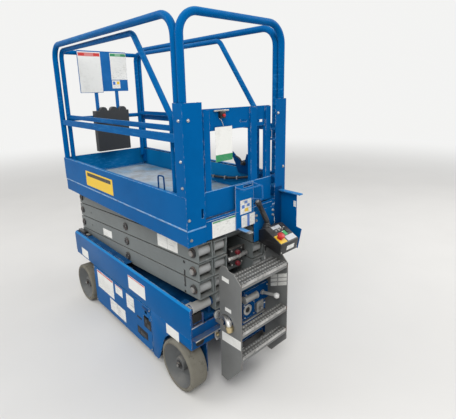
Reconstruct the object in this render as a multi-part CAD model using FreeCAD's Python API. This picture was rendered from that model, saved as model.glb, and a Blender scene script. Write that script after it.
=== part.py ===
import FreeCAD, Part
import math
import os

os.makedirs("parts", exist_ok=True)

V = FreeCAD.Vector

# A slab scissor lift, parked with its platform down. Millimetres.
# Origin: on the ground under the middle of the machine. +X is the steered front end,
# +Y the left side, +Z up. The ladder is at the rear, -X.

# Overall sizes
front_x = 915.0            # front of the platform
rear_x = -915.0            # rear edge of the ladder
chassis_rear_x = -700.0
chassis_front_x = 905.0
chassis_half_width = 360.0
chassis_top_z = 566.0
sheet = 6.0                # thickness of the chassis plates
running_fit = 0.05         # radial clearance of a pin in its bore
loose_fit = 0.6            # radial clearance where the linkage is opened
gap = 0.3                  # clearance between pieces that only rest on each other

# Wheels
wheel_radius = 152.5
tyre_width = 114.0
tyre_half_track = 323.0    # centre of the tyre from the middle plane
rear_axle_x = -569.0
front_axle_x = 751.0
rim_radius = 104.0
rim_hub_radius = 46.0
stub_radius = 20.0

# Steering
kingpin_y = 233.0
kingpin_radius = 14.0
kingpin_boss_radius = 24.0
beam_bottom_z = 262.0
beam_top_z = 345.0
steer_arm_length = 100.0
tie_rod_z = 236.0
tie_rod_radius = 9.0

# Scissor linkage: inner arms climb to the front, outer arms climb to the rear
arm_length = 1490.0        # rear pin to front pin
stage_rise = 106.0         # pin height gained by a lowered stage
stages = 4
rear_pin_x = -672.0
base_pin_z = 551.0
arm_height = 98.0
arm_wall = 6.0
arm_end = 44.0             # arm past its end pins
outer_arm_y = (202.0, 302.0)
inner_arm_y = (102.0, 194.0)
pin_radius = 19.0
pin_head_radius = 25.0
pin_head_thickness = 6.0
boss_radius = 31.0
cross_tube_radius = 30.0
cross_tube_end = 70.0      # cross tubes from the end pins
roller_radius = 20.0       # rollers that run in the slide channels
top_end_radius = 48.0      # rounded ends of the top arms, under the deck
channel_y = (306.0, 346.0)
channel_wall = 4.0
channel_gap = 1.0
channel_x = (20.0, 872.0)

rest_angle = math.degrees(math.asin(stage_rise / arm_length))
pivot_reach_y = chassis_half_width - 2 * sheet - 8
front_pin_x = rear_pin_x + arm_length * math.cos(math.radians(rest_angle))
middle_pin_x = (rear_pin_x + front_pin_x) / 2

# Lift cylinder, between inner arms 1 and 3
barrel_on_arm = arm_length - 240.0     # barrel pin along inner arm 1, from its rear pin
rod_on_arm = 250.0         # rod pin along inner arm 3, from its rear pin
barrel_radius = 42.0
rod_radius = 24.0
barrel_length = 930.0
eye_radius = 32.0
eye_half_width = 18.0
eye_side_gap = 4.0         # from the rod's eye to the stub pins beside it
stage_3_tube = 640.0       # rear cross tube of inner arm 3, clear of the cylinder

# Chassis
chassis_deck_z = 470.0
spine_half_width = 84.0
spine_bottom_z = 118.0
rear_box_half_width = 252.0
rear_box_bottom_z = 118.0
panel_low_z = 378.0        # lower edge of the side panels over the trays and front wheels
tray_x = (-276.0, 574.0)
tray_bottom_z = 68.0
tray_top_z = 372.0
tray_box_x = (-228.0, 530.0)
tray_inner_y = 104.0
tray_hinge = (558.0, 343.0)
hinge_pin_radius = 5.0
hinge_plate_half = 9.0
hinge_lug = 5.0            # thickness of the lugs above and below the trays' hinges
door_thickness = 6.0
door_low_z = tray_bottom_z - 6
tie_down_y = 250.0         # holes in the front panel
tie_down_z = 420.0
tie_down_radius = 13.0
guard_x = (-318.0, 541.0)
guard_y = (296.0, 350.0)
guard_z = 46.0
guard_plate = 5.0
guard_arm_x = (-300.0, 470.0)
guard_arm_width = 30.0

# Ladder
ladder_half_width = 190.0
ladder_plate = 5.0
ladder_front_x = -746.0
top_step_x = -795.0          # front edge of the top step
low_step_x = -862.0
step_tops = (728.0, 445.0, 297.0)
step_height = 31.0
step_plate = 3.0

# Platform
platform_rear_x = -730.0
platform_half_width = 370.0
skirt_bottom_z = 935.0
step_z = 1023.0            # crease where the toe board stands out from the skirt
deck_top_z = 1040.0
deck_thickness = 4.0
toe_top_z = 1193.0
toe_thickness = 4.0
sill_thickness = 3.0
tube_radius = 19.0
rail_top_z = 2041.0
rail_y = platform_half_width - 20.0
rail_bend = 105.0
mid_rail_z = 1472.0
rear_hoop_x = -711.0
column_outer_y = platform_half_width + 2.6
front_post_x = 885.0

# Extension deck, nested in the platform
extension_travel = 910.0
extension_y = platform_half_width - 61.0
extension_rail_z = 2000.0
extension_front_x = 868.0
extension_bar_x = extension_front_x - 8.0
extension_toe_y = platform_half_width - 26.0
extension_tube_radius = 16.0
extension_plate = 4.7

# Entry gate
gate_y = (-262.0, 232.0)
gate_hinge_y = -272.0
gate_x = -700.0
gate_top_z = 1605.0
gate_bottom_z = 1078.0
gate_hinge_z = (1140.0, 1420.0)
gate_pin_radius = 5.0
gate_knuckle_height = 40.0
gate_lug_radius = 9.0
gate_plate_z = (1495.0, gate_top_z)     # plate along the gate's top
gate_toe_z = (1056.0, toe_top_z)        # toe plate on the gate's outer face
gate_stile_width = 40.0
gate_middle_y = (-148.0, -98.0)

# Sheet columns beside the entry
column_top_z = 1640.0
column_fold = 70.0           # side of the columns, along the platform
left_column_y = gate_y[1] + 24
right_column_y = gate_hinge_y - 8
shield_y = (-344.0, -340.0)
shield_top_z = 1100.0

# Control box, outlet bracket, manual box and board
control_y = (-290.0, -135.0)
stick_y = -168.0
hanger_y = (-278.0, -98.0)
outlet_y = (-95.0, 46.0)
outlet_z = (940.0, toe_top_z)
wire_radius = 4.0
manual_y = (-166.0, 122.0)
manual_depth = 75.0
manual_z = (1220.0, 1443.0)  # lower half, under the lid
manual_top_z = 1547.0
board_y = (-200.0, 206.0)
board_z = (1690.0, 2004.0)


def box(x, y, z):
    """A block from three (low, high) pairs."""
    low = V(min(x), min(y), min(z))
    return Part.makeBox(max(x) - min(x), max(y) - min(y), max(z) - min(z), low)


def rod(start, end, radius):
    """A round bar between two points."""
    a = V(*start)
    b = V(*end)
    return Part.makeCylinder(radius, (b - a).Length, a, b - a)


def cross_bar(x, z, y, radius):
    """A round bar across the machine, between two y values."""
    return rod((x, min(y), z), (x, max(y), z), radius)


def side_plate(outline, y):
    """A plate in the XZ plane with the given outline, between two y values."""
    points = [V(px, min(y), pz) for px, pz in outline]
    face = Part.Face(Part.makePolygon(points + points[:1]))
    return face.extrude(V(0, max(y) - min(y), 0))


def end_plate(outline, x):
    """A plate in the YZ plane with the given outline, between two x values."""
    points = [V(min(x), py, pz) for py, pz in outline]
    face = Part.Face(Part.makePolygon(points + points[:1]))
    return face.extrude(V(max(x) - min(x), 0, 0))


def floor_plate(outline, z):
    """A plate in the XY plane with the given outline, between two z values."""
    points = [V(px, py, min(z)) for px, py in outline]
    face = Part.Face(Part.makePolygon(points + points[:1]))
    return face.extrude(V(0, 0, max(z) - min(z)))


def mirror_y(shape):
    return shape.mirror(V(0, 0, 0), V(0, 1, 0))


def both_sides(shape):
    return [shape, mirror_y(shape)]


def fuse(shapes):
    first = shapes[0]
    if len(shapes) == 1:
        return first
    return first.fuse(shapes[1:]).removeSplitter()


def bent_bar(points, bend, radius):
    """A round bar along straight runs joined by tangent arcs."""
    corners = [V(*p) for p in points]
    pieces = []
    start = corners[0]
    for before, corner, after in zip(corners, corners[1:], corners[2:]):
        towards = (before - corner).normalize()
        away = (after - corner).normalize()
        turn = math.pi - towards.getAngle(away)
        reach = bend * math.tan(turn / 2)
        first = corner + towards * reach
        centre = corner + (towards + away).normalize() * math.hypot(bend, reach)
        axis = away.cross(towards)
        disc = Part.Face(Part.Wire(Part.makeCircle(radius, first, towards)))
        pieces.append(rod(start, first, radius))
        pieces.append(disc.revolve(centre, axis, math.degrees(turn)))
        start = corner + away * reach
    pieces.append(rod(start, corners[-1], radius))
    return fuse(pieces)


def turned(shape, pivot, angle):
    """Turn in the XZ plane; a positive angle lifts the +X end."""
    copy = shape.copy()
    copy.rotate(V(*pivot), V(0, -1, 0), angle)
    return copy


# Pins of the linkage

def rear_pin(stage):
    return (rear_pin_x, 0, base_pin_z + stage * stage_rise)


def front_pin(stage):
    return (front_pin_x, 0, base_pin_z + stage * stage_rise)


def middle_pin(stage):
    return (middle_pin_x, 0, base_pin_z + (stage - 0.5) * stage_rise)


def along_inner(stage, distance):
    """A point on an inner arm's centre line, from its rear pin."""
    x, y, z = rear_pin(stage - 1)
    slope = math.radians(rest_angle)
    return (x + distance * math.cos(slope), y, z + distance * math.sin(slope))


# Scissor arms, drawn level from the rear pin at x = 0 and then turned

def arm_tube(y):
    outside = box((-arm_end, arm_length + arm_end), y, (-arm_height / 2, arm_height / 2))
    inside_y = (y[0] + arm_wall, y[1] - arm_wall)
    inside_z = (arm_wall - arm_height / 2, arm_height / 2 - arm_wall)
    inside = box((-arm_end - 1, arm_length + arm_end + 1), inside_y, inside_z)
    return outside.cut(inside)


def inner_arm(stage):
    """Two inner tubes with the pins set in them, and the cross tubes between them."""
    pin_places = (0, arm_length / 2, arm_length)
    tube = fuse([arm_tube(inner_arm_y)] + [cross_bar(x, 0, inner_arm_y, boss_radius) for x in pin_places])
    # the pins carry the outer arms, the chassis pivots and the platform's rollers
    outer_reach = outer_arm_y[1] + pin_head_thickness
    roller_reach = channel_y[1] - channel_wall - channel_gap
    reaches = dict.fromkeys(pin_places, outer_reach)
    if stage == 1:
        reaches[0] = pivot_reach_y
    if stage == stages:
        reaches[arm_length] = roller_reach
    wide = (inner_arm_y[0] - 1, inner_arm_y[1] + 1)
    pieces = []
    for x, reach in reaches.items():
        tube = tube.cut(cross_bar(x, 0, wide, pin_radius + gap))
        pin = cross_bar(x, 0, (inner_arm_y[0], reach), pin_radius)
        if reach == outer_reach:
            pin = pin.fuse(cross_bar(x, 0, (outer_arm_y[1] + gap, outer_reach + gap), pin_head_radius))
        if reach == roller_reach:
            pin = pin.fuse(cross_bar(x, 0, (channel_y[0], roller_reach), roller_radius))
        pieces += both_sides(pin)
    if stage == stages:
        end = box((arm_length, arm_length + arm_end + 1), wide, (-arm_height, arm_height))
        tube = tube.cut(end.cut(cross_bar(arm_length, 0, wide, top_end_radius)))
    pieces += both_sides(tube)
    inside = inner_arm_y[0] - gap
    tube_places = [cross_tube_end, arm_length - cross_tube_end]
    if stage == 3:
        tube_places[0] = stage_3_tube
        stub_y = (eye_half_width + eye_side_gap, inside)
        pieces += both_sides(cross_bar(rod_on_arm, 0, stub_y, pin_radius))
    for x in tube_places:
        pieces.append(cross_bar(x, 0, (-inside, inside), cross_tube_radius))
    if stage == 1:
        pieces.append(cross_bar(barrel_on_arm, 0, (-inside, inside), pin_radius))
    arm = Part.makeCompound(pieces)
    arm.translate(V(*rear_pin(stage - 1)))
    return turned(arm, rear_pin(stage - 1), rest_angle)


def outer_arm(stage):
    """The two outer tubes, one each side, with bores for the pins that carry them."""
    half = [arm_tube(outer_arm_y)]
    for x in (0, arm_length / 2, arm_length):
        half.append(cross_bar(x, 0, outer_arm_y, boss_radius))
    half = fuse(half)
    # measured from the rear pin: at the front a lower stage's inner arm carries this arm
    bores = [(arm_length / 2, running_fit)]
    if stage < stages:
        bores.append((0, running_fit))
    if stage > 1:
        bores.append((arm_length, loose_fit))
    wide = (outer_arm_y[0] - 1, outer_arm_y[1] + 1)
    for x, fit in bores:
        half = half.cut(cross_bar(x, 0, wide, pin_radius + fit))
    top = rear_pin(stage)
    if stage == stages:
        end = box((-arm_end - 1, 0), wide, (-arm_height, arm_height))
        half = half.cut(end.cut(cross_bar(0, 0, wide, top_end_radius)))
    half.translate(V(*top))
    half = turned(half, top, -rest_angle)
    if stage == 1:
        x, y, z = front_pin(0)
        roller_y = (channel_y[0], channel_y[1] - channel_wall - channel_gap)
        half = half.fuse([cross_bar(x, z, (outer_arm_y[1] - 10, channel_y[0] + 1), pin_radius),
                          cross_bar(x, z, roller_y, roller_radius)])
    if stage == stages:
        x, y, z = top
        half = half.fuse(cross_bar(x, z, (outer_arm_y[1] - 10, channel_y[0] + 22), pin_radius))
    return Part.makeCompound(both_sides(half))


# Lift cylinder

barrel_pin = along_inner(1, barrel_on_arm)
rod_pin = along_inner(3, rod_on_arm)
cylinder_length = (V(*rod_pin) - V(*barrel_pin)).Length
cylinder_slope = math.degrees(math.atan2(rod_pin[2] - barrel_pin[2], barrel_pin[0] - rod_pin[0]))


def lay_cylinder(shape):
    """Move a piece drawn from the barrel pin along -X to its place."""
    shape.translate(V(*barrel_pin))
    return turned(shape, barrel_pin, -cylinder_slope)


def lift_barrel():
    body = rod((-30, 0, 0), (-barrel_length, 0, 0), barrel_radius)
    gland = rod((-barrel_length + 40, 0, 0), (-barrel_length, 0, 0), barrel_radius + 7)
    base = rod((0, -barrel_radius, 0), (0, barrel_radius, 0), barrel_radius)
    whole = fuse([body, gland, base])
    whole = whole.cut(rod((-95, 0, 0), (-barrel_length - 1, 0, 0), rod_radius + gap))
    whole = whole.cut(rod((0, -60, 0), (0, 60, 0), pin_radius + running_fit))
    return lay_cylinder(whole)


def lift_rod():
    shaft = rod((-100, 0, 0), (-cylinder_length + 6, 0, 0), rod_radius)
    # the shaft is thinned to the width of the eye where the lugs take it
    trim_start = -cylinder_length + eye_radius + 30
    for side in (1, -1):
        trim = box((trim_start, -cylinder_length - 60), (side * eye_half_width, side * 60), (-60, 60))
        shaft = shaft.cut(trim)
    eye = rod((-cylinder_length, -eye_half_width, 0), (-cylinder_length, eye_half_width, 0), eye_radius)
    return lay_cylinder(fuse([shaft, eye]))


# Wheels

def wheel_ring(profile, x, y):
    """Revolve a profile of (distance outboard, radius) about a wheel's axle."""
    points = [V(0, a, r) for a, r in profile]
    face = Part.Face(Part.makePolygon(points + points[:1]))
    ring = face.revolve(V(0, 0, 0), V(0, 1, 0), 360)
    ring.translate(V(x, y, wheel_radius))
    return ring


def tyre(x):
    half = tyre_width / 2
    taper = 5.0
    profile = [(-half, rim_radius + gap), (taper - half, wheel_radius), (half - taper, wheel_radius),
               (half, rim_radius + gap)]
    return wheel_ring(profile, x, tyre_half_track)


def rim(x):
    half = tyre_width / 2
    lip = 6.0
    disc_out = 6.0
    hub_out = 34.0
    hub_in = -46.0
    bore = stub_radius + running_fit
    profile = [(-half, rim_radius), (half, rim_radius), (half, rim_radius - lip), (disc_out, rim_hub_radius + 22),
               (disc_out, rim_hub_radius), (hub_out, rim_hub_radius - 8), (hub_out, 0), (hub_out - 8, 0),
               (hub_out - 8, bore), (hub_in, bore), (hub_in, rim_hub_radius), (-half, rim_radius - lip)]
    return wheel_ring(profile, x, tyre_half_track)


stub_outer_y = tyre_half_track + 24.0


# Steering knuckles and tie rod

def knuckle():
    """Left knuckle: kingpin, upright, stub axle and a steering arm behind."""
    x = front_axle_x
    y = kingpin_y
    pin = rod((x, y, beam_bottom_z - 40), (x, y, beam_top_z + 20), kingpin_radius)
    cap = rod((x, y, beam_top_z + gap), (x, y, beam_top_z + 12), kingpin_boss_radius - 4)
    block = box((x - 26, x + 26), (y - 16, y + 20), (wheel_radius - 34, beam_bottom_z - 6))
    collar = rod((x, y, beam_bottom_z - 6.5), (x, y, beam_bottom_z - gap), kingpin_boss_radius)
    stub = cross_bar(x, wheel_radius, (y + 10, stub_outer_y), stub_radius)
    motor = cross_bar(x, wheel_radius, (y - 44, y + 24), 46)
    arm = floor_plate([(x + 4, y - 14), (x + 4, y + 14), (x - steer_arm_length - 14, y + 12),
                       (x - steer_arm_length - 14, y - 12)], (tie_rod_z + 14, tie_rod_z + 22))
    joint_pin = rod((x - steer_arm_length, y, tie_rod_z - 14), (x - steer_arm_length, y, tie_rod_z + 15), 6)
    return fuse([pin, cap, block, collar, stub, motor, arm, joint_pin])


def tie_rod():
    x = front_axle_x - steer_arm_length
    bar = cross_bar(x, tie_rod_z, (-kingpin_y + 5, kingpin_y - 5), tie_rod_radius)
    ends = [rod((x, side * kingpin_y, tie_rod_z - 11), (x, side * kingpin_y, tie_rod_z + 11), 14)
            for side in (1, -1)]
    whole = fuse([bar] + ends)
    for side in (1, -1):
        fit = running_fit if side == 1 else loose_fit
        hole = rod((x, side * kingpin_y, tie_rod_z - 30), (x, side * kingpin_y, tie_rod_z + 30), 6 + fit)
        whole = whole.cut(hole)
    return whole


# Chassis

def chassis_frame():
    """Deck, spine, rear box, front beam, scissor channels and the rear pivots."""
    inside = chassis_half_width - sheet - gap
    deck = box((chassis_rear_x + sheet + gap, chassis_front_x - sheet - gap), (-inside, inside),
               (chassis_deck_z - sheet, chassis_deck_z))
    spine = box((-430, tray_x[1] + 12), (-spine_half_width, spine_half_width),
                (spine_bottom_z, chassis_deck_z - sheet))
    front_box = box((tray_x[1] + 12, chassis_front_x - sheet - gap), (-spine_half_width, spine_half_width),
                    (beam_bottom_z, chassis_deck_z - sheet))
    rear_box = box((chassis_rear_x + sheet + gap, -430), (-rear_box_half_width, rear_box_half_width),
                   (rear_box_bottom_z, chassis_deck_z - sheet))
    cavity = box((chassis_rear_x, -430 - 2 * sheet), (-rear_box_half_width + sheet, rear_box_half_width - sheet),
                 (rear_box_bottom_z - 1, chassis_deck_z - 2 * sheet))
    rear_box = rear_box.cut(cavity)
    beam = box((front_axle_x - 25, front_axle_x + 25), (-kingpin_y, kingpin_y), (beam_bottom_z, beam_top_z))
    pieces = [deck, spine, front_box, rear_box, beam]
    for side in (1, -1):
        pieces.append(rod((front_axle_x, side * kingpin_y, beam_bottom_z),
                          (front_axle_x, side * kingpin_y, beam_top_z), kingpin_boss_radius))
        pieces.append(cross_bar(rear_axle_x, wheel_radius,
                                (side * (rear_box_half_width - sheet), side * stub_outer_y), stub_radius))
        pieces.append(cross_bar(rear_axle_x, wheel_radius,
                                (side * (rear_box_half_width - 30), side * (rear_box_half_width + 10)), 50))
        hinge_x, hinge_y = tray_hinge
        arm_x = (hinge_x - 20, hinge_x - 6)
        for z in (tray_top_z + 1, tray_bottom_z - hinge_lug - 4):
            top = z + hinge_lug
            pieces.append(box(arm_x, (side * spine_half_width, side * hinge_y), (z, top)))
            pieces.append(rod((hinge_x, side * hinge_y, z), (hinge_x, side * hinge_y, top), hinge_plate_half))
        pieces.append(box(arm_x, (side * (spine_half_width - 20), side * spine_half_width),
                          (tray_bottom_z - hinge_lug - 4, spine_bottom_z)))
    whole = fuse(pieces)
    for side in (1, -1):
        x, y = front_axle_x, side * kingpin_y
        whole = whole.cut(rod((x, y, beam_bottom_z - 1), (x, y, beam_top_z + 1), kingpin_radius + running_fit))
        hinge_x, hinge_y = tray_hinge
        whole = whole.cut(rod((hinge_x, side * hinge_y, tray_bottom_z - 30),
                              (hinge_x, side * hinge_y, tray_top_z + 30), hinge_pin_radius + running_fit))
    return whole


def scissor_mounts():
    """Left and right: the slide channel and the bearing block of the rear pivot."""
    low = base_pin_z - roller_radius - channel_gap
    high = base_pin_z + roller_radius + channel_gap
    shell = box(channel_x, channel_y, (low - channel_wall, high + channel_wall))
    hollow = box((channel_x[0] - 1, channel_x[1] + 1), (channel_y[0] - 1, channel_y[1] - channel_wall),
                 (low, high))
    foot = box(channel_x, (channel_y[1] - 8, channel_y[1]), (chassis_deck_z, low - channel_wall))
    x, y, z = rear_pin(0)
    bearing_y = (inner_arm_y[1] + 6, pivot_reach_y)
    bearing = cross_bar(x, z, bearing_y, 27)
    pedestal = box((x + 2, x + 80), (outer_arm_y[1] + 4, bearing_y[1]), (chassis_deck_z, z + 14))
    brace = box((x - 3, x + 40), (bearing_y[0], bearing_y[0] + 12), (chassis_deck_z, z))
    block = fuse([bearing, pedestal, brace])
    block = block.cut(cross_bar(x, z, (bearing_y[0] - 1, bearing_y[1] + 1), pin_radius + running_fit))
    half = shell.cut(hollow).fuse(foot).removeSplitter()
    return Part.makeCompound(both_sides(half) + both_sides(block))


def side_panel():
    """Left side panel with the rear wheel arch; the tray's door fills the gap below."""
    outline = [(chassis_rear_x, chassis_top_z), (chassis_rear_x, 316), (-520, 318), (-448, 268), (-345, 60),
               (-334, 50), (tray_x[0] - 4, 50), (tray_x[0] - 4, panel_low_z), (chassis_front_x - 24, panel_low_z),
               (chassis_front_x - sheet - gap, panel_low_z + 20), (chassis_front_x - sheet - gap, chassis_top_z)]
    y = (chassis_half_width - sheet, chassis_half_width)
    plate = side_plate(outline, y)
    flange = box((chassis_rear_x, chassis_front_x - sheet - gap), (channel_y[1] + gap, chassis_half_width),
                 (chassis_top_z - sheet, chassis_top_z))
    return fuse([plate, flange])


def rear_panel():
    """Rear face left and right of the scissor well, the shelf and the lower panel."""
    x = (chassis_rear_x, chassis_rear_x + sheet)
    y_out = chassis_half_width - sheet - gap
    outline = [(150, 316), (y_out, 316), (y_out, chassis_top_z - sheet - gap), (346, chassis_top_z - sheet - gap),
               (346, 515), (270, 515), (270, chassis_deck_z - 22), (150, chassis_deck_z - 22)]
    plate = end_plate(outline, x)
    window = box((x[0] - 1, x[1] + 1), (278, 346), (456, 520))
    oval = box((x[0] - 1, x[1] + 1), (282, 312), (352, 376))
    half = plate.cut(window).cut(oval)
    shelf = box((chassis_rear_x - 34, chassis_rear_x + 1), (150, y_out), (384, 390))
    half = fuse([half, shelf])
    middle = box(x, (-150, 150), (chassis_deck_z - 60, chassis_deck_z - 22))
    return fuse(both_sides(half) + [middle])


def front_panel():
    x = (chassis_front_x - sheet, chassis_front_x)
    y = chassis_half_width
    outline = [(-y + 20, panel_low_z), (y - 20, panel_low_z), (y, panel_low_z + 20), (y, chassis_top_z - 14),
               (y - 14, chassis_top_z), (-y + 14, chassis_top_z), (-y, chassis_top_z - 14), (-y, panel_low_z + 20)]
    plate = end_plate(outline, x)
    for side in (1, -1):
        spot = (x[0] - 1, side * tie_down_y, tie_down_z)
        plate = plate.cut(rod(spot, (x[1] + 1, side * tie_down_y, tie_down_z), tie_down_radius))
    return plate


def tray():
    """Left swing-out tray: floor, walls and the door panel that closes the side."""
    hinge_x, hinge_y = tray_hinge
    floor_z = tray_bottom_z
    door_y = (chassis_half_width - door_thickness, chassis_half_width)
    door = box(tray_x, door_y, (door_low_z, tray_top_z))
    floor = box(tray_box_x, (tray_inner_y, door_y[0]), (floor_z, floor_z + 5))
    wall = 4.0
    rear_wall = box((tray_box_x[0], tray_box_x[0] + wall), (tray_inner_y, door_y[0]), (floor_z, 250))
    front_wall = box((tray_box_x[1] - wall, tray_box_x[1]), (tray_inner_y, door_y[0]), (floor_z, 250))
    inner_wall = box(tray_box_x, (tray_inner_y, tray_inner_y + wall), (floor_z, 180))
    knuckles = rod((hinge_x, hinge_y, floor_z - 4 + gap), (hinge_x, hinge_y, tray_top_z), hinge_plate_half)
    link = box((tray_box_x[1] - 1, hinge_x), (hinge_y - 6, door_y[0] + 1), (floor_z, tray_top_z - 20))
    pin = rod((hinge_x, hinge_y, floor_z - 8), (hinge_x, hinge_y, tray_top_z + 9), hinge_pin_radius)
    whole = fuse([door, floor, rear_wall, front_wall, inner_wall, knuckles, link, pin])
    # sockets of the ground controls
    for x, z, size in ((-215, 268, 34), (-144, 133, 34), (-215, 322, 16)):
        whole = whole.cut(box((x - size, x + size), (door_y[0] - 1, door_y[1] + 1), (z - size * 0.8, z + size * 0.8)))
    return whole


def battery_pack():
    """Four traction batteries in a row."""
    shapes = []
    count = 4
    pitch = 184.0
    start = tray_box_x[0] + 12
    for index in range(count):
        x = start + index * pitch
        case = box((x, x + 178), (tray_inner_y + 6, chassis_half_width - door_thickness - 12), (tray_bottom_z + 5.3, tray_bottom_z + 270))
        posts = [rod((x + 40 + side * 98, tray_inner_y + 60, tray_bottom_z + 268),
                     (x + 40 + side * 98, tray_inner_y + 60, tray_bottom_z + 284), 9) for side in (0, 1)]
        shapes.append(fuse([case] + posts))
    return Part.makeCompound(shapes)


def hydraulic_unit():
    """Oil tank, motor and pump on the right-hand tray."""
    z = tray_bottom_z + 5.3
    y = (-tray_inner_y - 20, -tray_inner_y - 240)
    tank = box((160, 500), y, (z, z + 230))
    cap = rod((430, -220, z + 229), (430, -220, z + 252), 28)
    motor = rod((-190, -220, z + 76), (60, -220, z + 76), 72)
    pump = box((59, 150), (-265, -175), (z, z + 130))
    feet = box((-180, 50), (-250, -190), (z, z + 20))
    return Part.makeCompound([fuse([tank, cap]), fuse([motor, pump, feet])])


def pothole_guard():
    """Left guard bar under the tray, bolted to two arms that slide on posts beside the spine."""
    bar_top = guard_z + guard_plate
    arm_top = bar_top + gap + guard_plate
    pieces = [box(guard_x, guard_y, (guard_z, bar_top))]
    post_y = (spine_half_width + gap, spine_half_width + 8)
    for x in guard_arm_x:
        pieces.append(box((x, x + guard_arm_width), (post_y[0], guard_y[1] - 8), (bar_top + gap, arm_top)))
        pieces.append(box((x, x + guard_arm_width), post_y, (arm_top + gap, spine_bottom_z + 30)))
    return Part.makeCompound(pieces)


# Ladder

def ladder_step(x, z):
    """Folded step, open at the bottom, between the side plates."""
    y = ladder_half_width - ladder_plate
    tread = box(x, (-y, y), (z - step_height, z))
    return tread.cut(box((x[0] + step_plate, x[1] - step_plate), (-y, y), (z - step_height - 1, z - step_plate)))


def ladder():
    """Two side plates with their ears, and three grip steps."""
    outline = [(ladder_front_x, 90), (-800, 84), (rear_x, 225), (rear_x, 725), (-861, 774), (-822, 776),
               (-806, 794), (-772, 794), (-756, 776), (ladder_front_x, 740)]
    y = (ladder_half_width - ladder_plate, ladder_half_width)
    left = side_plate(outline, y)
    left = left.cut(cross_bar(-805, 462, (y[0] - 1, y[1] + 1), 50))
    pieces = [left, mirror_y(side_plate(outline, y))]
    for front_edge, z in zip((top_step_x, low_step_x, low_step_x), step_tops):
        pieces.append(ladder_step((rear_x + 3, front_edge), z))
    for z in (325, 418):
        pieces += both_sides(box((ladder_front_x, chassis_rear_x - gap), (y[0] - 22, y[0]), (z, z + 24)))
    return fuse(pieces)


def rear_unit():
    """Charger, outlet housing and emergency lowering unit behind the ladder."""
    x1 = chassis_rear_x - gap
    back = box((x1 - 10, x1), (-145, 58), (127, 450))
    body = box((x1 - 70, x1 - 46), (-182, 23), (450, 560))
    housing = box((x1 - 76, x1), (-56, 36), (389, 490))
    motor = cross_bar(x1 - 78, 513, (-76, 16), 10.5)
    charger = box((x1 - 62, x1), (-136, -75), (384, 458))
    shelf = box((x1 - 66, x1), (-145, 36), (374, 389))
    low_bar = box((x1 - 40, x1), (-169, 35), (127, 214))
    return fuse([back, body, housing, motor, charger, shelf, low_bar])


# Platform

def platform_deck():
    """Deck with its skirts, slide channels and rear pivot ears."""
    inside = platform_half_width - 2
    deck = box((platform_rear_x + 4, front_x - 30), (-extension_toe_y - 14, extension_toe_y + 14),
               (deck_top_z - deck_thickness, deck_top_z))
    skirt = box((platform_rear_x, front_x - 6), (inside - 4, inside), (skirt_bottom_z, step_z))
    ledge = box((platform_rear_x, front_x - 6), (extension_toe_y + 10, inside), (step_z - 4, step_z))
    riser = box((platform_rear_x + 4, front_x - 30), (extension_toe_y + 10, extension_toe_y + 14),
                (step_z - 4, deck_top_z))
    x, y, z = front_pin(stages)
    low = z - roller_radius - channel_gap
    high = z + roller_radius + channel_gap
    shell = box(channel_x, channel_y, (low - channel_wall, high + channel_wall))
    hollow = box((channel_x[0] - 1, channel_x[1] + 1), (channel_y[0] - 1, channel_y[1] - channel_wall),
                 (low, high))
    channel = shell.cut(hollow)
    hanger = box(channel_x, (channel_y[1] - 8, channel_y[1]), (high + channel_wall, deck_top_z - deck_thickness))
    px, py, pz = rear_pin(stages)
    ear_y = (outer_arm_y[1] + 4, outer_arm_y[1] + 18)
    ear = side_plate([(px - 36, pz - 20), (px - 20, pz - 34), (px + 20, pz - 34), (px + 36, pz - 20),
                      (px + 60, deck_top_z - deck_thickness), (px - 36, deck_top_z - deck_thickness)], ear_y)
    ear = ear.cut(cross_bar(px, pz, (ear_y[0] - 1, ear_y[1] + 1), pin_radius + running_fit))
    half = [skirt, ledge, riser, channel, hanger, ear]
    pieces = [deck]
    for piece in half:
        pieces += both_sides(piece)
    rear_sill = box((platform_rear_x, platform_rear_x + sill_thickness), (-inside, inside), (skirt_bottom_z, deck_top_z + 12))
    rear_sill = rear_sill.cut(box((platform_rear_x - 1, platform_rear_x + 5), (-inside + 5, inside - 5),
                                  (skirt_bottom_z - 1, skirt_bottom_z + 3)))
    pieces.append(rear_sill)
    return fuse(pieces)


def toe_board():
    """Left toe board along the side of the platform."""
    x = (platform_rear_x + sill_thickness + gap, front_x - 6)
    plate = box(x, (platform_half_width - toe_thickness, platform_half_width), (step_z, toe_top_z))
    lip = box(x, (platform_half_width - 22, platform_half_width), (toe_top_z - 4, toe_top_z))
    foot = box(x, (extension_toe_y + 14 + gap, platform_half_width), (step_z, step_z + 4))
    return fuse([plate, lip, foot])


def main_rail():
    """Left guard rail of the main deck: front post, top rail, rear post and mid rail."""
    rear_x_post = rear_hoop_x + 2 * tube_radius + 2
    foot_z = toe_top_z
    top = bent_bar([(front_post_x, rail_y, foot_z), (front_post_x, rail_y, rail_top_z - 6),
                    (rear_x_post, rail_y, rail_top_z - 6), (rear_x_post, rail_y, foot_z)], rail_bend, tube_radius)
    mid = box((rear_x_post, front_post_x), (rail_y - 10, rail_y + 10), (mid_rail_z - 20, mid_rail_z + 20))
    return fuse([top, mid])


def rear_hoop():
    """Rear arch over the entry."""
    foot_z = toe_top_z
    return bent_bar([(rear_hoop_x, rail_y, foot_z), (rear_hoop_x, rail_y, rail_top_z),
                     (rear_hoop_x, -rail_y, rail_top_z), (rear_hoop_x, -rail_y, foot_z)],
                    rail_bend, tube_radius)


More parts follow.
